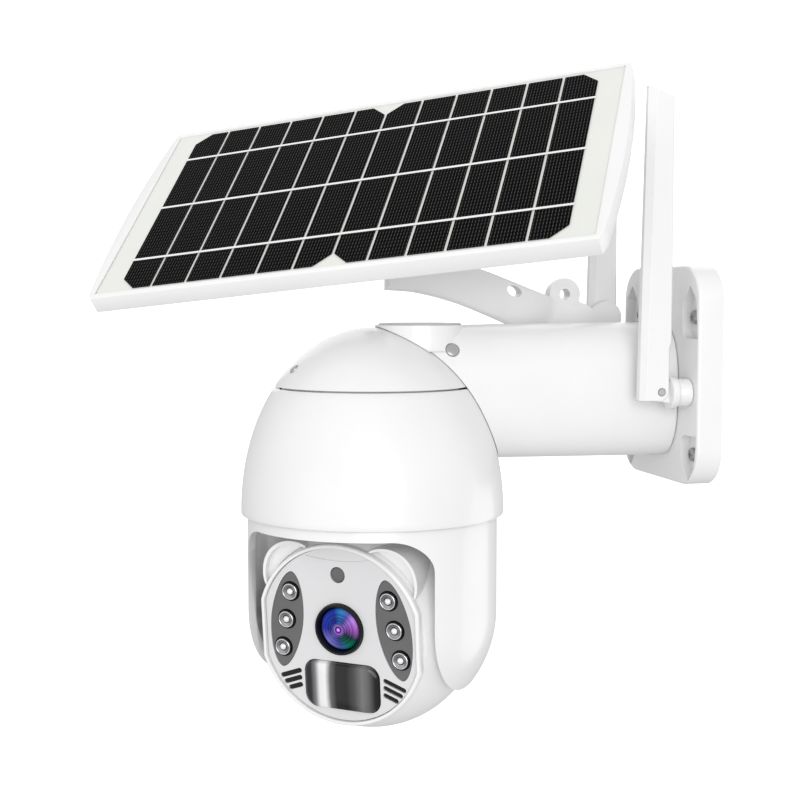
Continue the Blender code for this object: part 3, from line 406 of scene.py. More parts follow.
def lens_finish():
    """Coated optics with painted reflections: rings of blue and violet with bright rings and a bright centre,
    green and magenta sectors, and a faint painted glow.
    """
    made = Nodes("lens_painted_reflections")
    x, _, z = made.axes()
    square = made.math("ADD", made.math("MULTIPLY", x, x), made.math("MULTIPLY", z, z))
    radius = made.math("DIVIDE", made.math("SQRT", square), LENS_RADIUS * MM)
    angle = made.math("ADD", made.math("DIVIDE", made.math("ARCTAN2", z, x), 2 * pi), 0.5)
    sectors = made.ramp(angle, LENS_REFLECTION_SECTORS)
    rings = made.ramp(radius, LENS_REFLECTION_RINGS)
    node = made.tree.nodes.new("ShaderNodeMix")
    node.data_type = "RGBA"
    node.blend_type = "MULTIPLY"
    made.feed(node, 0, 1.0)
    made.feed(node, 6, sectors)
    made.feed(node, 7, rings)
    centre = made.math("LESS_THAN", radius, LENS_CORE)
    colour = made.mix(centre, node.outputs[2], rings)
    # Painted glow: the lens gives off its painted reflection colours a little, though it is no lamp.
    made.feed(made.shader, "Emission Color", colour)
    made.feed(made.shader, "Emission Strength", 0.12)
    return made.finish(colour, 0.08, shine=0.12)


def pir_finish():
    """Infrared-clear black plastic with painted reflections: a bright soft upright stripe on the left third
    and a dim grey one on the right.
    """
    made = Nodes("dark_lens")
    x = made.math("DIVIDE", made.axes()["X"], PIR_SIZE[0] * MM)
    wobble = made.math("MULTIPLY", made.math("SUBTRACT", made.noise(60.0), 0.5), 0.02)
    # Painted reflection: a bright upright stripe and a dim grey one laid across the black plastic.
    painted_reflection_bands = made.ramp(made.math("ADD", made.math("ADD", x, 0.5), wobble), (
        (0.0, (0.006, 0.006, 0.007)), (0.10, (0.02, 0.02, 0.02)), (0.17, (0.20, 0.20, 0.21)),
        (0.23, (0.75, 0.75, 0.76)), (0.31, (0.80, 0.80, 0.81)), (0.38, (0.12, 0.12, 0.12)),
        (0.46, (0.010, 0.010, 0.011)), (0.60, (0.006, 0.006, 0.007)), (0.70, (0.05, 0.05, 0.05)),
        (0.80, (0.15, 0.15, 0.15)), (0.88, (0.10, 0.10, 0.10)), (0.95, (0.012, 0.012, 0.013)),
        (1.0, (0.004, 0.004, 0.005))))
    return made.finish(painted_reflection_bands, 0.12, shine=0.35)


MATS = {
    "white": finish_of("white_plastic", (0.80, 0.80, 0.80), 0.30, 0.012, 0.0, 0.25, 0.02),
    "face": finish_of("face_plastic", (0.65, 0.65, 0.66), 0.30, 0.02, 0.0, 0.2, 0.02),
    "grey": finish_of("grey_plastic", (0.42, 0.42, 0.43), 0.30, 0.04, 0.0, 0.2),
    "plug": finish_of("plug_rubber", (0.40, 0.40, 0.41), 0.2, 0.05, 0.3, 0.3),
    "disc": finish_of("disc_plastic", (0.50, 0.50, 0.51), 0.40, 0.03),
    "black": finish_of("black_plastic", (0.004, 0.004, 0.005), 0.22, 0.2, shine=0.25),
    "smoke": finish_of("smoked_window", (0.135, 0.135, 0.137), 0.45, 0.04, shine=0.15),
    "sensor": finish_of("sensor_window", (0.09, 0.09, 0.092), 0.25, 0.05, 0.0, 0.3),
    "rim": finish_of("panel_frame", (0.84, 0.84, 0.84), 0.38, 0.01),
    "sheet": finish_of("backsheet", (0.76, 0.77, 0.73), 0.42, 0.012),
    "busbar": finish_of("busbar", (0.82, 0.82, 0.82), 0.45, 0.03),
    "steel": finish_of("steel", (0.50, 0.51, 0.53), 0.35, 0.06, 1.0),
    "screw": finish_of("screw_steel", (0.38, 0.38, 0.39), 0.35, 0.06, 0.9),
    "chrome": finish_of("chrome", (0.80, 0.80, 0.82), 0.10, 0.03, 1.0),
    "cup": finish_of("reflector_cup", (0.30, 0.30, 0.31), 0.22, 0.25, 1.0, scale=260.0),
    "brass": finish_of("brass", (0.72, 0.55, 0.26), 0.35, 0.06, 1.0),
    "board": finish_of("circuit_board", (0.03, 0.20, 0.09), 0.5, 0.2, 0.0, 0.0, 0.05, 140.0),
    "wrap": finish_of("battery_wrap", (0.05, 0.15, 0.42), 0.4, 0.06),
    "bulb": finish_of("led_dome", (0.90, 0.90, 0.92), 0.05, 0.03, 0.3, 1.0),
    "cell": cell_finish(),
    "lens": lens_finish(),
    "pir": pir_finish(),
}


# ---------------------------------------------------------------- wall base and arm

def base_outline(inset):
    height = BASE_TOP - BASE_BOTTOM - 2 * inset
    middle = (0.0, (BASE_TOP + BASE_BOTTOM) / 2)
    return rounded_box(BASE_WIDTH - 2 * inset, height, BASE_CORNER - inset, 16, middle)


def smooth_corner(before, corner, after, reach, steps):
    """Points that round a corner off with a quadratic curve."""
    corner = Vector(corner)
    start = corner + (Vector(before) - corner).normalized() * reach
    end = corner + (Vector(after) - corner).normalized() * reach
    spots = [i / steps for i in range(steps + 1)]
    return [tuple(start * (1 - t) ** 2 + corner * (2 * t * (1 - t)) + end * t ** 2) for t in spots]


def pocket_outline(side, flat, tip):
    """A screw pocket beside the base's edge: square at one end and pointed at the other."""
    way = 1 if tip > flat else -1
    corners = [(POCKET_OUTER_X, flat), (POCKET_INNER_X, flat), (POCKET_INNER_X, tip - 11.0 * way),
               (POCKET_INNER_X + 9.0, tip), (POCKET_OUTER_X - 2.4, tip - 8.4 * way)]
    points = [corners[0]] + smooth_corner(*corners[0:3], 6.0, 8) + smooth_corner(*corners[1:4], 4.0, 6)
    points += smooth_corner(*corners[2:5], 2.0, 5) + [corners[4]]
    return [(side * x, z) for x, z in points]


def make_base():
    front, edge = -BASE_DEPTH, 1.6
    outlines = [(base_outline(0.3), -0.1), (base_outline(0.0), -0.5)]
    for angle in range(0, 91, 15):
        inset = edge * (1 - cos(radians(angle)))
        outlines.append((base_outline(inset), front + edge - edge * sin(radians(angle))))
    housing = raw("housing", stack(outlines, "y"))
    carve(housing, prism(base_outline(4.0 - GAP), -2.3, 5.0, "y"))
    for side in (-1, 1):
        for flat, tip in POCKETS:
            carve(housing, prism(pocket_outline(side, flat, tip), front - 5.0, front + 5.5, "y"))
        carve(housing, prism(circle(3.6, 40, (side * ANTENNA_X, 0.0)), front - 5.0, 0.5, "y"))
        for z in WALL_SCREWS_Z:
            carve(housing, prism(circle(2.6, 32, (side * WALL_SCREW_X, z)), front - 5.0, 0.5, "y"))
    carve(housing, prism(circle(12.0, 48), front - 5.0, front + 6.0, "y"))
    dress(housing, MATS["white"], "base", ["base_housing"], 0.5)


def tube_outline(y, grow=0.0, steps=112):
    along = (TUBE_START_Y - y) / (TUBE_START_Y - HEAD_Y)
    half_height = TUBE_HALF_HEIGHTS[0] + (TUBE_HALF_HEIGHTS[1] - TUBE_HALF_HEIGHTS[0]) * along
    into_nose = min(1.0, max(0.0, (NOSE_Y - y) / TUBE_HALF_WIDTH))
    nose = sqrt(1.0 - into_nose ** 2)
    half_width = max(4.0, TUBE_HALF_WIDTH * nose) + grow
    return oval(half_width, half_height * (0.93 + 0.07 * nose) + grow, TUBE_SQUARENESS, steps)


def dome_radius(z, inset=0.0):
    shrink = 1.0 - inset / DOME_RADIUS
    t = max(0.0, (z - DOME_RIM_Z) / (DOME_APEX_Z - DOME_RIM_Z) / shrink)
    return DOME_RADIUS * shrink * sqrt(max(0.0, 1.0 - t ** DOME_POWER))


def dome_curve(low, inset, steps):
    high = DOME_RIM_Z + (DOME_APEX_Z - DOME_RIM_Z) * (1.0 - inset / DOME_RADIUS)
    heights = [low + (high - low) * sin(pi / 2 * i / steps) for i in range(steps)]
    return [(dome_radius(z, inset), z) for z in heights] + [(0.0, high)]


def make_arm():
    levels = [(TUBE_START_Y, -1.0), (TUBE_START_Y - 0.3, -0.4), (TUBE_START_Y - 1.0, 0.0)]
    levels += [(y, 0.0) for y in (-40.0, -60.0, -85.0, -110.0, -135.0)]
    levels += [(NOSE_Y - TUBE_HALF_WIDTH * sin(radians(a)), 0.0) for a in range(0, 85, 6)]
    tube = raw("tube", stack([(tube_outline(y, grow), y) for y, grow in levels], "y"))
    carve(tube, prism(rounded_box(21.0, 25.0, 3.0, 6, (-22.5, -15.5)), -76.0, -46.6, "y"), "UNION")
    centre, rim = (0.0, CAP_DISC_Y), DOME_APEX_Z + 1.2
    flare = [(CAP_DISC_RADIUS + 1.8 + 2.0 * (1 - cos(radians(a))), rim - 14.0 * sin(radians(a)))
             for a in range(0, 91, 9)]
    carve(tube, stack([(circle(r, 96, centre), z) for r, z in flare[::-1]]), "UNION")
    carve(tube, prism(circle(CAP_DISC_RADIUS + GAP, 96, centre), rim - 0.7, rim + 10.0))
    inner = [(tube_outline(y, -WALL, 64), y) for y in (TUBE_START_Y + 5.0, -60.0, -110.0, NOSE_Y)]
    carve(tube, stack(inner, "y"))
    space = revolve([(0.0, DOME_RIM_Z - 5.0)] + dome_curve(DOME_RIM_Z - 5.0, -GAP, 44), 144)
    carve(tube, moved(space, HEAD))
    plug("arm_plug", tube, ARM_PLUG, 3.7, ROW)
    dress(tube, MATS["white"], "base", ["arm_tube"], 0.0, 38.0)
    bottom = rim - 0.4
    rows = ((CAP_DISC_RADIUS - 0.2, bottom), (CAP_DISC_RADIUS, bottom + 0.2), (CAP_DISC_RADIUS, bottom + 0.8),
            (CAP_DISC_RADIUS - 0.3, bottom + 1.2), (CAP_DISC_RADIUS - 0.8, bottom + 1.4))
    disc = raw("cap_disc", stack([(circle(r, 96, centre), z) for r, z in rows]))
    dress(disc, MATS["disc"], "base", ["arm_end_cap"])


def plug(node, shell, spot, radius, where):
    """A flush plug in a counterbore, with a bright lip round it."""
    seat = aim(spot[0], spot[1])
    carve(shell, moved(prism(circle(radius + GAP, 48), -1.3, 6.0), seat))
    carve(shell, moved(prism(circle(2.1, 32), -8.0, 0.0), seat))
    rows = ((1.8, -6.0), (1.8, -1.0), (radius, -1.0), (radius, 0.1), (radius * 0.93, 0.5),
            (radius * 0.72, 0.8), (radius * 0.3, 0.9))
    head = raw(node + "_head", moved(stack([(circle(r, 48), z) for r, z in rows]), seat), where)
    dress(head, MATS["plug"], "base", [node])


def make_dome():
    low, high = SEAM_Z - SEAM_GAP / 2, SEAM_Z + SEAM_GAP / 2
    lip = SEAM_Z - 5.5
    profile = [(dome_radius(lip, 3.5), lip), (dome_radius(high, 3.5), high), (dome_radius(high) - 0.35, high)]
    profile += [(dome_radius(high + 0.3), high + 0.3)] + dome_curve(high + 0.8, 0.0, 40)
    profile += dome_curve(lip, 4.8, 12)[::-1]
    cap = raw("dome_top", revolve(profile), HEAD)
    plug("dome_plug", cap, DOME_PLUG, 2.7, HEAD)
    dress(cap, MATS["white"], "base", ["dome_cap"], 0.0, 38.0)
    heights = [DOME_RIM_Z + 0.8 + (low - 0.5 - DOME_RIM_Z - 0.8) * i / 24 for i in range(25)]
    profile = [(DOME_RADIUS - 0.8, DOME_RIM_Z), (DOME_RADIUS - 0.25, DOME_RIM_Z + 0.25)]
    profile += [(dome_radius(z), z) for z in heights] + [(dome_radius(low) - 0.5, low)]
    profile += [(dome_radius(z, WALL), z) for z in heights[::-4]] + [(DOME_RADIUS - WALL, DOME_RIM_Z)]
    dress(raw("dome_side", revolve(profile), HEAD), MATS["white"], "base", ["dome_skirt"], 0.0, 38.0)


# ---------------------------------------------------------------- yoke and ball

def make_yoke():
    drop = YOKE_TAPER_Z - YOKE_BOTTOM_Z
    inner_radius = YOKE_RADIUS - YOKE_WALL
    profile = [(HUB_BORE, YOKE_DECK_BOTTOM), (HUB_BORE, HUB_TOP), (HUB_RADIUS, HUB_TOP)]
    profile += [(HUB_RADIUS, YOKE_DECK_TOP)]
    profile += [(YOKE_RADIUS - 1.5, YOKE_DECK_TOP), (YOKE_RADIUS - 0.4, YOKE_DECK_TOP - 0.4)]
    profile += [(YOKE_RADIUS, z) for z in (YOKE_DECK_TOP - 1.5, -75.0, -90.0, -105.0)]
    bends = list(range(0, 46, 3))
    profile += [(YOKE_RADIUS * cos(radians(a)), YOKE_TAPER_Z - drop * sin(radians(a))) for a in bends]
    profile += [(inner_radius * cos(radians(a)), YOKE_TAPER_Z - (drop - YOKE_WALL) * sin(radians(a)))
                for a in bends[::-1]]
    profile += [(inner_radius, YOKE_DECK_BOTTOM)]
    yoke = raw("yoke_shell", revolve(profile, 192), PAN)
    opening = rounded_box(2 * OPENING_HALF_WIDTH, 160.0, OPENING_CORNER, 16, (0.0, OPENING_TOP_Z - 80.0))
    carve(yoke, prism(opening, -90.0, 90.0, "y"))
    dress(yoke, MATS["white"], "yoke", ["yoke"], 1.8)


def face_outline(inset, steps=28):
    radius, flat = FACE_RADIUS - inset, FACE_FLAT - inset
    edge = degrees(atan2(sqrt(radius ** 2 - flat ** 2), flat))
    side = arc((0.0, 0.0), radius, edge, 180.0 - edge, 2 * steps)
    return side + [(-x, -z) for x, z in side]


def sphere_curve(radius, low, high, steps):
    first, last = (atan2(y, sqrt(max(0.0, radius ** 2 - y ** 2))) for y in (low, high))
    turns = [first + (last - first) * i / steps for i in range(steps + 1)]
    return [(max(0.0, radius * cos(t)), radius * sin(t)) for t in turns]


def led_window(side, inset):
    x, z, half_width, half_height, lean = LED_WINDOW
    window = turned(oval(half_width - inset, half_height - inset, 1.8, 72), lean, (x, z))
    return window if side > 0 else mirrored(window)


def slot_outline(side, x, z, length, grow):
    bar = rounded_box(length + 2 * grow, SLOT_WIDTH + 2 * grow, SLOT_WIDTH / 2 + grow - 0.05, 8)
    bar = turned(bar, SLOT_LEAN, (x, z))
    return bar if side > 0 else mirrored(bar)


def make_ball():
    shell = BALL_RADIUS - WALL
    front = -FACE_DEPTH + 0.5
    profile = sphere_curve(BALL_RADIUS, front, -0.15, 16) + sphere_curve(shell, front, -0.15, 6)[::-1]
    half = raw("ball_shell_front", revolve(profile, 160, "y"), BALL)
    carve(half, prism(circle(7.6, 40), -90.0, 90.0, "x"))
    dress(half, MATS["white"], "camera_ball", ["ball_front"], 0.0, 38.0)
    profile = sphere_curve(BALL_RADIUS, 0.15, BALL_RADIUS - 0.0005, 26)[:-1]
    profile += [(0.0, BALL_RADIUS), (0.0, shell)]
    profile += sphere_curve(shell, 0.15, shell - 0.0005, 8)[-2::-1]
    half = raw("ball_shell_rear", revolve(profile, 160, "y"), BALL)
    carve(half, prism(circle(7.6, 40), -90.0, 90.0, "x"))
    dress(half, MATS["white"], "camera_ball", ["ball_rear"], 0.0, 38.0)

    tip = -FACE_DEPTH - 4.0
    rows = [(face_outline(0.0), -FACE_DEPTH + 0.2), (face_outline(0.0), tip + 1.3),
            (face_outline(0.25), tip + 0.5), (face_outline(0.8), tip)]
    ring = raw("bezel_ring", stack(rows, "y"), BALL)
    carve(ring, prism(face_outline(BEZEL_WIDTH), -60.0, -20.0, "y"))
    dress(ring, MATS["white"], "camera_ball", ["face_bezel"], 0.45, 40.0)

    plate = raw("face_panel", prism(face_outline(BEZEL_WIDTH + GAP), FACE_PLATE[0], FACE_PLATE[1], "y"), BALL)
    holes = [circle(LENS_BEZEL_RADIUS, 72, (0.0, LENS_HEIGHT)),
             circle(SENSOR_RADIUS, 48, (0.0, SENSOR_HEIGHT)),
             rounded_box(PIR_SIZE[0] + 0.6, PIR_SIZE[1] + 0.6, PIR_CORNER + GAP, 12, (0.0, PIR_Z))]
    for side in (-1, 1):
        holes.append(led_window(side, 0.0))
        holes += [slot_outline(side, x, z, length, GAP) for x, z, length in SLOTS]
    for hole in holes:
        carve(plate, prism(hole, -60.0, -20.0, "y"))
    brow = arc((0.0, 0.0), 46.4, 66.0, 114.0, 24) + arc((0.0, 140.0), 99.4, 260.0, 280.0, 24)
    carve(plate, prism(brow, FACE_PLATE[0] - 3.0, FACE_PLATE[0] + 0.5, "y"))
    dress(plate, MATS["face"], "camera_ball", ["face_plate"], 0.3)

    for side, word in ((1, "right"), (-1, "left")):
        window = raw("window_" + word, prism(led_window(side, GAP), -38.6, -37.0, "y"), BALL)
        for x, z in LEDS:
            carve(window, prism(circle(LED_RADIUS + 0.2, 48, (side * x, z)), -60.0, -20.0, "y"))
        dress(window, MATS["smoke"], "camera_ball", ["led_window_" + word], 0.25)
        keep("led_board_" + word, MATS["black"])
        for number, (x, z) in enumerate(LEDS, 1):
            make_led("led_%s_%d" % (word, number), side * x, z)
        make_visor(side, word)

    rows = ((4.1, -35.0), (4.1, -38.2), (3.7, -38.6), (2.6, -38.8))
    sensor = stack([(circle(r, 48, (0.0, SENSOR_HEIGHT)), y) for r, y in rows], "y")
    dress(raw("sensor_cap", sensor, BALL), MATS["sensor"], "camera_ball", ["light_sensor"])
    make_lens()
    make_pir()


def make_led(name, x, z):
    """An infrared emitter: black holder, reflector cup with a polished lip, and a clear dome."""
    seat = BALL @ Matrix.Translation((x, 0.0, z))
    holder = ((5.15, -38.9), (5.15, -39.2), (4.4, -39.2), (4.0, -38.9), (4.1, -38.0), (5.15, -38.0))
    dress(raw(name + "_holder", revolve(holder, 48, "y"), seat), MATS["black"], "camera_ball",
          slot="black_plastic")
    cup = ((4.5, -39.15), (4.5, -39.7), (4.2, -39.85), (3.9, -39.75), (2.5, -39.3), (2.3, -39.25),
           (2.3, -39.15))
    dress(raw(name + "_cup", revolve(cup, 48, "y"), seat), MATS["cup"], "camera_ball", slot="chrome")
    lip = [(4.15 + 0.3 * cos(radians(a)), -39.8 + 0.3 * sin(radians(a))) for a in range(0, 360, 30)]
    dress(raw(name + "_lip", revolve(lip, 48, "y"), seat), MATS["chrome"], "camera_ball", slot="chrome")
    bulb = [(1.8 * cos(radians(a)), -39.2 - 1.4 * sin(radians(a))) for a in range(0, 90, 10)]
    bulb = [(1.8, -38.9)] + bulb + [(0.0, -40.6), (0.0, -38.9)]
    dress(raw(name + "_bulb", revolve(bulb, 40, "y"), seat), MATS["bulb"], "camera_ball", slot="chrome")


def make_visor(side, word):
    first, last, steps = 28.0, 68.0, 32

    def ear(inset, base):
        """The hood's outline, pulled in by an inset, over an arc of the base radius."""
        outline = []
        for i in range(steps + 1):
            t = radians(first + (last - first) * i / steps)
            reach = FACE_RADIUS + 0.8 + 9.4 * abs(sin(pi * i / steps)) ** 0.8 - inset
            outline.append((max(base, reach) * cos(t), max(base, reach) * sin(t)))
        outline += arc((0.0, 0.0), base - 0.01, last, first, steps)
        return outline if side > 0 else mirrored(outline)

    hood = raw("visor_hood_" + word, prism(ear(0.0, FACE_RADIUS + GAP), -38.5, -12.0, "y"), BALL)
    scoop = [-90.0 + 180.0 * i / 48 for i in range(49)]
    clear = BALL_RADIUS + GAP
    ball = [(clear * cos(radians(a)) if 0 < i < 48 else 0.0, clear * sin(radians(a)))
            for i, a in enumerate(scoop)]
    carve(hood, revolve(ball, 96, "y"))
    carve(hood, prism(ear(1.9, FACE_RADIUS - 4.0), -60.0, -34.6, "y"))
    dress(hood, MATS["white"], "camera_ball", ["visor_" + word], 0.6)


def make_lens():
    profile = ((14.0, -30.0), (14.0, -40.8), (13.8, -41.3), (13.2, -41.5), (12.6, -41.3), (12.1, -40.4),
               (11.9, -36.0), (11.9, -30.0))
    ring = moved(revolve(profile, 96, "y"), Matrix.Translation((0.0, 0.0, LENS_HEIGHT)))
    dress(raw("lens_ring", ring, BALL), MATS["black"], "camera_ball", ["lens_bezel"])
    keep("lens_barrel", MATS["black"])
    where = BALL @ Matrix.Translation((0.0, 0.0, LENS_HEIGHT))
    rise = [(LENS_RADIUS * cos(radians(a)), -37.6 - 3.2 * sin(radians(a))) for a in range(0, 90, 6)]
    glass = revolve([(LENS_RADIUS, -36.5)] + rise + [(0.0, -40.8), (0.0, -36.5)], 96, "y")
    dress(raw("lens_front", glass, where), MATS["lens"], "camera_ball", ["lens_glass"], local=True)


def make_pir():
    width, height = PIR_SIZE
    rings = []
    for scale, level, crown in ((1.0, -35.8, 0.0), (1.0, -38.6, 0.0), (0.985, -39.3, 1.6), (0.95, -39.8, 2.6),
                                (0.88, -40.0, 3.0), (0.7, -40.0, 3.0), (0.5, -40.0, 3.0), (0.3, -40.0, 3.0),
                                (0.1, -40.0, 3.0)):
        ring = [(u * scale, v * scale) for u, v in rounded_box(width, height, PIR_CORNER, 12)]
        rings.append([Vector((u, level - crown * (1 - (2 * u / width) ** 2), v + PIR_Z)) for u, v in ring])
    dress(raw("motion_lens", skin(rings), BALL), MATS["pir"], "camera_ball", ["pir_lens"], local=True)


# ---------------------------------------------------------------- antennas

def make_antenna(side, word):
    where = Matrix.Translation((side * ANTENNA_X, 0.0, 0.0))
    face = TUBE_START_Y
    nut = face - SOCKET_LENGTH
    wide = SOCKET_RADIUS
    profile = ((0.0, -8.0), (3.3, -8.0), (3.3, face), (wide - 0.5, face), (wide, face - 0.5),
               (wide, nut + 1.2), (wide - 0.4, nut + 0.4), (wide - 1.1, nut), (0.0, nut))
    body = "antenna_" + word
    socket = raw("socket_" + word, revolve(profile, 64, "y"), where)
    dress(socket, MATS["white"], "base", ["antenna_socket_" + word])
    top = nut - GAP
    wide = COLLAR_RADIUS
    profile = ((0.0, top), (wide - 1.0, top), (wide - 0.3, top - 0.3), (wide, top - 1.0),
               (wide, top - 3.4), (wide - 0.6, top - 4.0), (0.0, top - 4.0))
    knuckle = raw("knuckle_" + word, revolve(profile, 64, "y"), where)
    tongue = [(PIN_Y, PIN_Z - 5.4), (-26.0, -5.6), (-26.0, 6.2), (PIN_Y, PIN_Z + 5.4)]
    carve(knuckle, prism(tongue + arc((PIN_Y, PIN_Z), 5.4, 100.0, 260.0, 20), -2.5, 2.5, "x"), "UNION")
    dress(knuckle, MATS["white"], body, ["antenna_knuckle_" + word], 0.25)
    pin = moved(prism(circle(1.9, 40), -4.4, 4.4), turn(90, "Y"))
    pin = raw("fold_pin_" + word, moved(pin, Matrix.Translation((0.0, PIN_Y, PIN_Z))), where)
    dress(pin, MATS["grey"], body, (), 0.3, slot="grey_plastic")

    rings = []
    stations = ((-4.1, -4.1, -44.6, -30.9), (-1.1, -1.1, -44.5, -28.2), (1.9, 1.9, -44.5, -27.8),
                (25.0, 25.0, -44.0, -27.8), (28.0, 28.0, -44.0, -26.6), (100.0, 100.0, -42.4, -26.6),
                (166.5, 160.5, -41.0, -26.6))
    for front_z, back_z, front, back in stations:
        half = 4.0 - 0.7 * max(0.0, front_z) / 166.5
        facet = 3.0 + 1.2 * max(0.0, front_z) / 166.5
        section = ((half, back - 0.9), (half, front + facet), (half - 3.0, front), (0.8 - half, front),
                   (-half, front + 0.8), (-half, back - 0.9), (0.9 - half, back), (half - 0.9, back))
        ring = []
        for x, y in section:
            share = (y - front) / (back - front)
            ring.append(Vector((x, y, front_z + (back_z - front_z) * share)))
        rings.append(ring)
    blade = raw("blade_" + word, skin(rings), where)
    carve(blade, prism(rounded_box(5.6, 34.0, 1.0, 4, (0.0, -9.0)), -39.2, -20.0, "y"))
    carve(blade, prism(circle(2.3, 40, (PIN_Y, PIN_Z)), -10.0, 10.0, "x"))
    dress(blade, MATS["white"], body, ["antenna_blade_" + word], 0.35, 20.0)


# ---------------------------------------------------------------- bracket

def curve_through(points, steps):
    """A smooth curve through the points."""
    ends = [points[0]] + list(points) + [points[-1]]
    made = []
    for a, b, c, d in zip(ends, ends[1:], ends[2:], ends[3:]):
        for i in range(steps):
            t = i / steps
            made.append(tuple(0.5 * (2 * q + (r - p) * t + (2 * p - 5 * q + 4 * r - s) * t ** 2
                                     + (3 * q - p - 3 * r + s) * t ** 3) for p, q, r, s in zip(a, b, c, d)))
    return made + [points[-1]]


def make_bracket():
    ears = [(FOOT_CENTRE[0] + EAR_REACH * cos(radians(a)), FOOT_CENTRE[1] + EAR_REACH * sin(radians(a)))
            for a in EAR_ANGLES]
    bracket = raw("bracket", prism(circle(17.0, 72, FOOT_CENTRE), FOOT_X, FOOT_X + FOOT_THICKNESS, "x"))
    for ear in ears:
        carve(bracket, prism(circle(EAR_RADIUS, 48, ear), FOOT_X, FOOT_X + FOOT_THICKNESS, "x"), "UNION")
    path = curve_through(ARM_PATH, 6)
    rings = []
    for i, (y, z) in enumerate(path):
        before, after = path[max(0, i - 1)], path[min(len(path) - 1, i + 1)]
        along = Vector((after[0] - before[0], after[1] - before[1])).normalized()
        share = i / (len(path) - 1)
        half = (ARM_HEIGHT[0] + (ARM_HEIGHT[1] - ARM_HEIGHT[0]) * share) / 2
        flush = FOOT_X + FOOT_THICKNESS
        near = flush + (ARM_X[1] - flush) * min(1.0, max(0.0, (share - 0.2) / 0.2))
        section = ((ARM_X[0], -half), (near - 1.2, -half), (near, 1.2 - half), (near + 1.6, 0.1 * half),
                   (near, half - 1.2), (near - 1.2, half), (ARM_X[0], half))
        rings.append([Vector((x, y + along.y * v, z - along.x * v)) for x, v in section])
    carve(bracket, skin(rings), "UNION")
    pad = stack([(circle(r, 64), z) for r, z in ((12.0, -33.0), (12.8, -30.0), (12.0, -20.0))])
    carve(bracket, moved(pad, SWIVEL), "UNION")
    carve(bracket, moved(prism(circle(4.5, 40), -40.0, -10.0), SWIVEL))
    carve(bracket, prism(turned(oval(4.6, 3.0, 2.0, 48), -22.0, (-95.0, 56.0)), -60.0, 0.0, "x"))
    carve(bracket, prism(circle(3.2, 40, ears[0]), -60.0, -20.0, "x"))
    for spot in (ears[2], (-63.0, 24.0)):
        carve(bracket, prism(circle(2.2, 32, spot), -60.0, FOOT_X + 3.2, "x"))
        carve(bracket, prism(circle(4.3, 40, spot), FOOT_X + 2.2, 0.0, "x"))
    dress(bracket, MATS["white"], "base", ["bracket_arm"], 0.4, 25.0)
    keep("panel_saddle", MATS["white"], 0.4)
    for word in ("saddle_screw", "foot_screw"):
        for number in (1, 2):
            keep("%s_%d" % (word, number), MATS["screw"], 0.15)


# ---------------------------------------------------------------- solar panel

def panel_outline(inset, steps=36):
    half_length, half_width = PANEL_LENGTH / 2 - inset, PANEL_WIDTH / 2 - inset
    points = []
    for side in (1, -1):
        for i in range(steps + 1):
            t = -1.0 + 2.0 * i / steps
            corner = 1.4 * max(0.0, abs(t) - 0.985) / 0.015
            points.append((side * (half_length - corner + PANEL_BULGE * (1 - t * t)), side * t * half_width))
    return points


def make_panel():
    keep("panel_swivel", MATS["white"], 0.3)
    keep("hinge_bolt", MATS["steel"], 0.3)
    keep("panel_back_cover", MATS["white"], 0.5)
    top = PANEL_OFFSET
    bottom = top - PANEL_THICKNESS
    rows = ((0.8, bottom), (0.25, bottom + 0.25), (0.0, bottom + 0.8), (0.0, top - 0.8), (0.25, top - 0.25),
            (0.8, top))
    rim = raw("panel_rim", stack([(panel_outline(inset), level) for inset, level in rows]), PANEL)
    recess = (PANEL_LENGTH - 2 * RIM_WIDTH[0], PANEL_WIDTH - 2 * RIM_WIDTH[1])
    carve(rim, prism(rounded_box(*recess, 1.0, 6), top - 2.6, top + 10.0))
    carve(rim, prism(rounded_box(recess[0] - 6.0, recess[1] - 4.0, 1.0, 6), bottom - 10.0, top))
    dress(rim, MATS["rim"], "solar_panel", ["panel_frame"], 0.25)
    keep("solar_laminate", MATS["sheet"])

    half = (PANEL_LENGTH / 2 - CELL_MARGIN[0], PANEL_WIDTH / 2 - CELL_MARGIN[1])
    pitch = 2 * half[0] / CELL_COLUMNS
    strips = bmesh.new()
    for column in range(CELL_COLUMNS):
        left = -half[0] + column * pitch + CELL_GAP / 2
        right = left + pitch - CELL_GAP
        cuts = [CELL_CHAMFER if column in (0, CELL_COLUMNS // 2) else 0.0,
                CELL_CHAMFER if column in (CELL_COLUMNS // 2 - 1, CELL_COLUMNS - 1) else 0.0]
        add_strip(strips, left, right, half[1], cuts, top)
    cells = raw("cell_strips", strips, PANEL)
    dress(cells, MATS["cell"], "solar_panel", ["solar_cells"], local=True)
    for number, share in enumerate(BUSBARS, 1):
        bar = rounded_box(2 * half[0], 1.7, 0.3, 2, (0.0, share * 2 * half[1]))
        strip = raw("busbar_%d" % number, prism(bar, top - 0.45, top - 0.35), PANEL)
        dress(strip, MATS["busbar"], "solar_panel", slot="backsheet")


def add_strip(mesh, left, right, reach, cuts, top):
    """One cell strip, with the wafer's corners cut off at the ends of each group."""
    outline = []
    if cuts[1]:
        outline += [(right, cuts[1] - reach), (right, reach - cuts[1]), (right - cuts[1], reach)]
    else:
        outline += [(right, -reach), (right, reach)]
    if cuts[0]:
        outline += [(left + cuts[0], reach), (left, reach - cuts[0])]
        outline += [(left, cuts[0] - reach), (left + cuts[0], -reach)]
    else:
        outline += [(left, reach), (left, -reach)]
    if cuts[1]:
        outline.append((right - cuts[1], -reach))
    low = [mesh.verts.new((x, y, top - 0.8)) for x, y in outline]
    high = [mesh.verts.new((x, y, top - 0.5)) for x, y in outline]
    for i in range(len(low)):
        j = (i + 1) % len(low)
        mesh.faces.new((low[i], low[j], high[j], high[i]))
    mesh.faces.new(low[::-1])
    mesh.faces.new(high)


# ---------------------------------------------------------------- studio

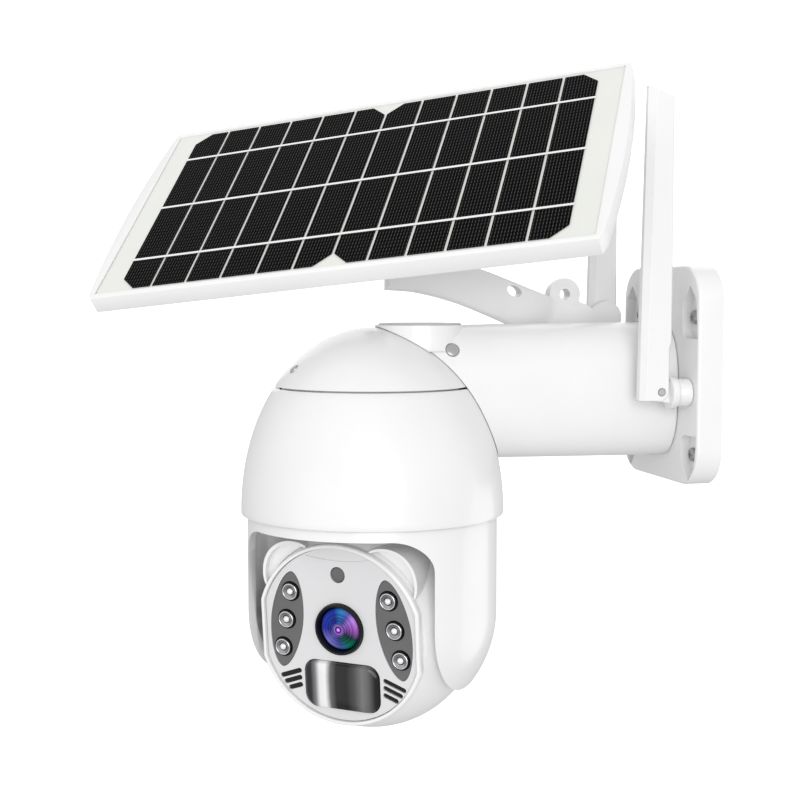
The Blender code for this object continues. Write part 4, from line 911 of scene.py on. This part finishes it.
FLOOR_Z, FLOOR_RADIUS, SWEEP_BEND, SWEEP_TOP, SWEEP_BACK = -420.0, 1200.0, 1500.0, 4000.0, 50.0
AMBIENT = (0.56, 0.78)  # from below and from above
FRONT_LIGHT, REAR_LIGHT, SIDE_LIGHT, RIM_LIGHT = 1.55, 0.6, 0.3, 0.5
PAPER_GLOW = 0.4
FOCAL_PX, CAMERA_AZIMUTH, CAMERA_ELEVATION = 1400.0, 76.5, 4.2
SENSOR_MM, FRAME_PX = 36.0, 800.0
PX_PER_MM = 1.8  # at the pan axis
CAMERA_OFFSET = (27.5, 111.0)  # of the frame's middle from the dome's rim, right and up


def sun(name, towards, strength, spread):
    """A broad soft light from a direction."""
    light = bpy.data.lights.new(name, "SUN")
    light.energy = strength
    light.angle = radians(spread)
    obj = bpy.data.objects.new(name, light)
    bpy.context.scene.collection.objects.link(obj)
    obj.rotation_euler = Vector(towards).to_track_quat("Z", "Y").to_euler()


def make_studio():
    """A white paper bowl all round, an even glow from the world, and four broad suns."""
    turns = [radians(90.0 * i / 24) for i in range(25)]
    curve = [(FLOOR_RADIUS + SWEEP_BEND * sin(t), FLOOR_Z + SWEEP_BEND * (1 - cos(t))) for t in turns]
    wall, under = FLOOR_RADIUS + SWEEP_BEND, FLOOR_Z - SWEEP_BACK
    profile = [(0.0, FLOOR_Z)] + curve + [(wall, SWEEP_TOP), (wall + SWEEP_BACK, SWEEP_TOP)]
    profile += [(wall + SWEEP_BACK, under), (0.0, under)]
    sweep = raw("sweep", revolve(profile, 96))
    sweep.data.shade_smooth()
    paper = finish_of("sweep_paper", (0.92, 0.92, 0.92), 0.9, 0.005, 0.0, 0.0, 0.0, 3.0)
    shader = paper.node_tree.nodes["Principled BSDF"]
    shader.inputs["Emission Color"].default_value = (1.0, 1.0, 1.0, 1.0)
    shader.inputs["Emission Strength"].default_value = PAPER_GLOW
    sweep.data.materials.append(paper)
    sweep.visible_diffuse = sweep.visible_glossy = sweep.visible_shadow = False

    world = bpy.data.worlds.new("studio")
    bpy.context.scene.world = world
    world.use_nodes = True
    background = world.node_tree.nodes["Background"]
    coords = world.node_tree.nodes.new("ShaderNodeTexCoord")
    split = world.node_tree.nodes.new("ShaderNodeSeparateXYZ")
    height = world.node_tree.nodes.new("ShaderNodeMapRange")
    height.inputs["From Min"].default_value, height.inputs["From Max"].default_value = -0.6, 0.6
    height.inputs["To Min"].default_value, height.inputs["To Max"].default_value = AMBIENT
    world.node_tree.links.new(coords.outputs["Generated"], split.inputs[0])
    world.node_tree.links.new(split.outputs["Z"], height.inputs["Value"])
    world.node_tree.links.new(height.outputs["Result"], background.inputs["Strength"])
    background.inputs["Color"].default_value = (1.0, 1.0, 1.0, 1.0)
    sun("front", (0.955, -0.16, 0.13), FRONT_LIGHT, 44.0)
    sun("rear", (-0.80, 0.25, 0.45), REAR_LIGHT, 60.0)
    sun("side", (0.45, -0.85, -0.15), SIDE_LIGHT, 50.0)
    sun("rim", (-0.15, 0.95, -0.25), RIM_LIGHT, 40.0)
    bpy.context.scene.view_settings.view_transform = "Standard"


def make_camera():
    """The view: the camera looks across the arm from beside and a little above."""
    azimuth, elevation = radians(CAMERA_AZIMUTH), radians(CAMERA_ELEVATION)
    distance = FOCAL_PX / PX_PER_MM
    back = Vector((sin(azimuth) * cos(elevation), -cos(azimuth) * cos(elevation), sin(elevation)))
    right = Vector((cos(azimuth), sin(azimuth), 0.0))
    up = back.cross(right)
    spot = Vector((0.0, HEAD_Y, DOME_RIM_Z)) + back * distance
    spot += right * (CAMERA_OFFSET[0] / PX_PER_MM) + up * (CAMERA_OFFSET[1] / PX_PER_MM)
    data = bpy.data.cameras.new("camera")
    data.lens, data.sensor_width = FOCAL_PX / FRAME_PX * SENSOR_MM, SENSOR_MM
    data.clip_start, data.clip_end = 0.05, 50.0
    camera = bpy.data.objects.new("camera", data)
    bpy.context.scene.collection.objects.link(camera)
    turned_axes = Matrix((right, up, back)).transposed().to_4x4()
    camera.matrix_world = Matrix.Translation(spot * MM) @ turned_axes
    bpy.context.scene.camera = camera


# ---------------------------------------------------------------- assembly

def main():
    make_base()
    make_arm()
    make_dome()
    make_yoke()
    make_ball()
    make_antenna(1, "near")
    make_antenna(-1, "far")
    make_bracket()
    make_panel()
    inner = {"steel": ("wall_plate", "chassis_plate", "pan_bearing", "pan_motor", "tilt_pivot", "tilt_motor"),
             "board": ("main_board", "camera_board"), "wrap": ("battery_pack",),
             "brass": ("pan_pinion", "tilt_gear", "tilt_pinion"), "grey": ("pan_gear",),
             "black": ("grille_left", "grille_right"),
             "screw": ("wall_screw_1", "wall_screw_2", "wall_screw_3", "wall_screw_4")}
    for finish, nodes in inner.items():
        for node in nodes:
            keep(node, MATS[finish], 0.15 if finish == "screw" else 0.0)
    make_studio()
    make_camera()


main()
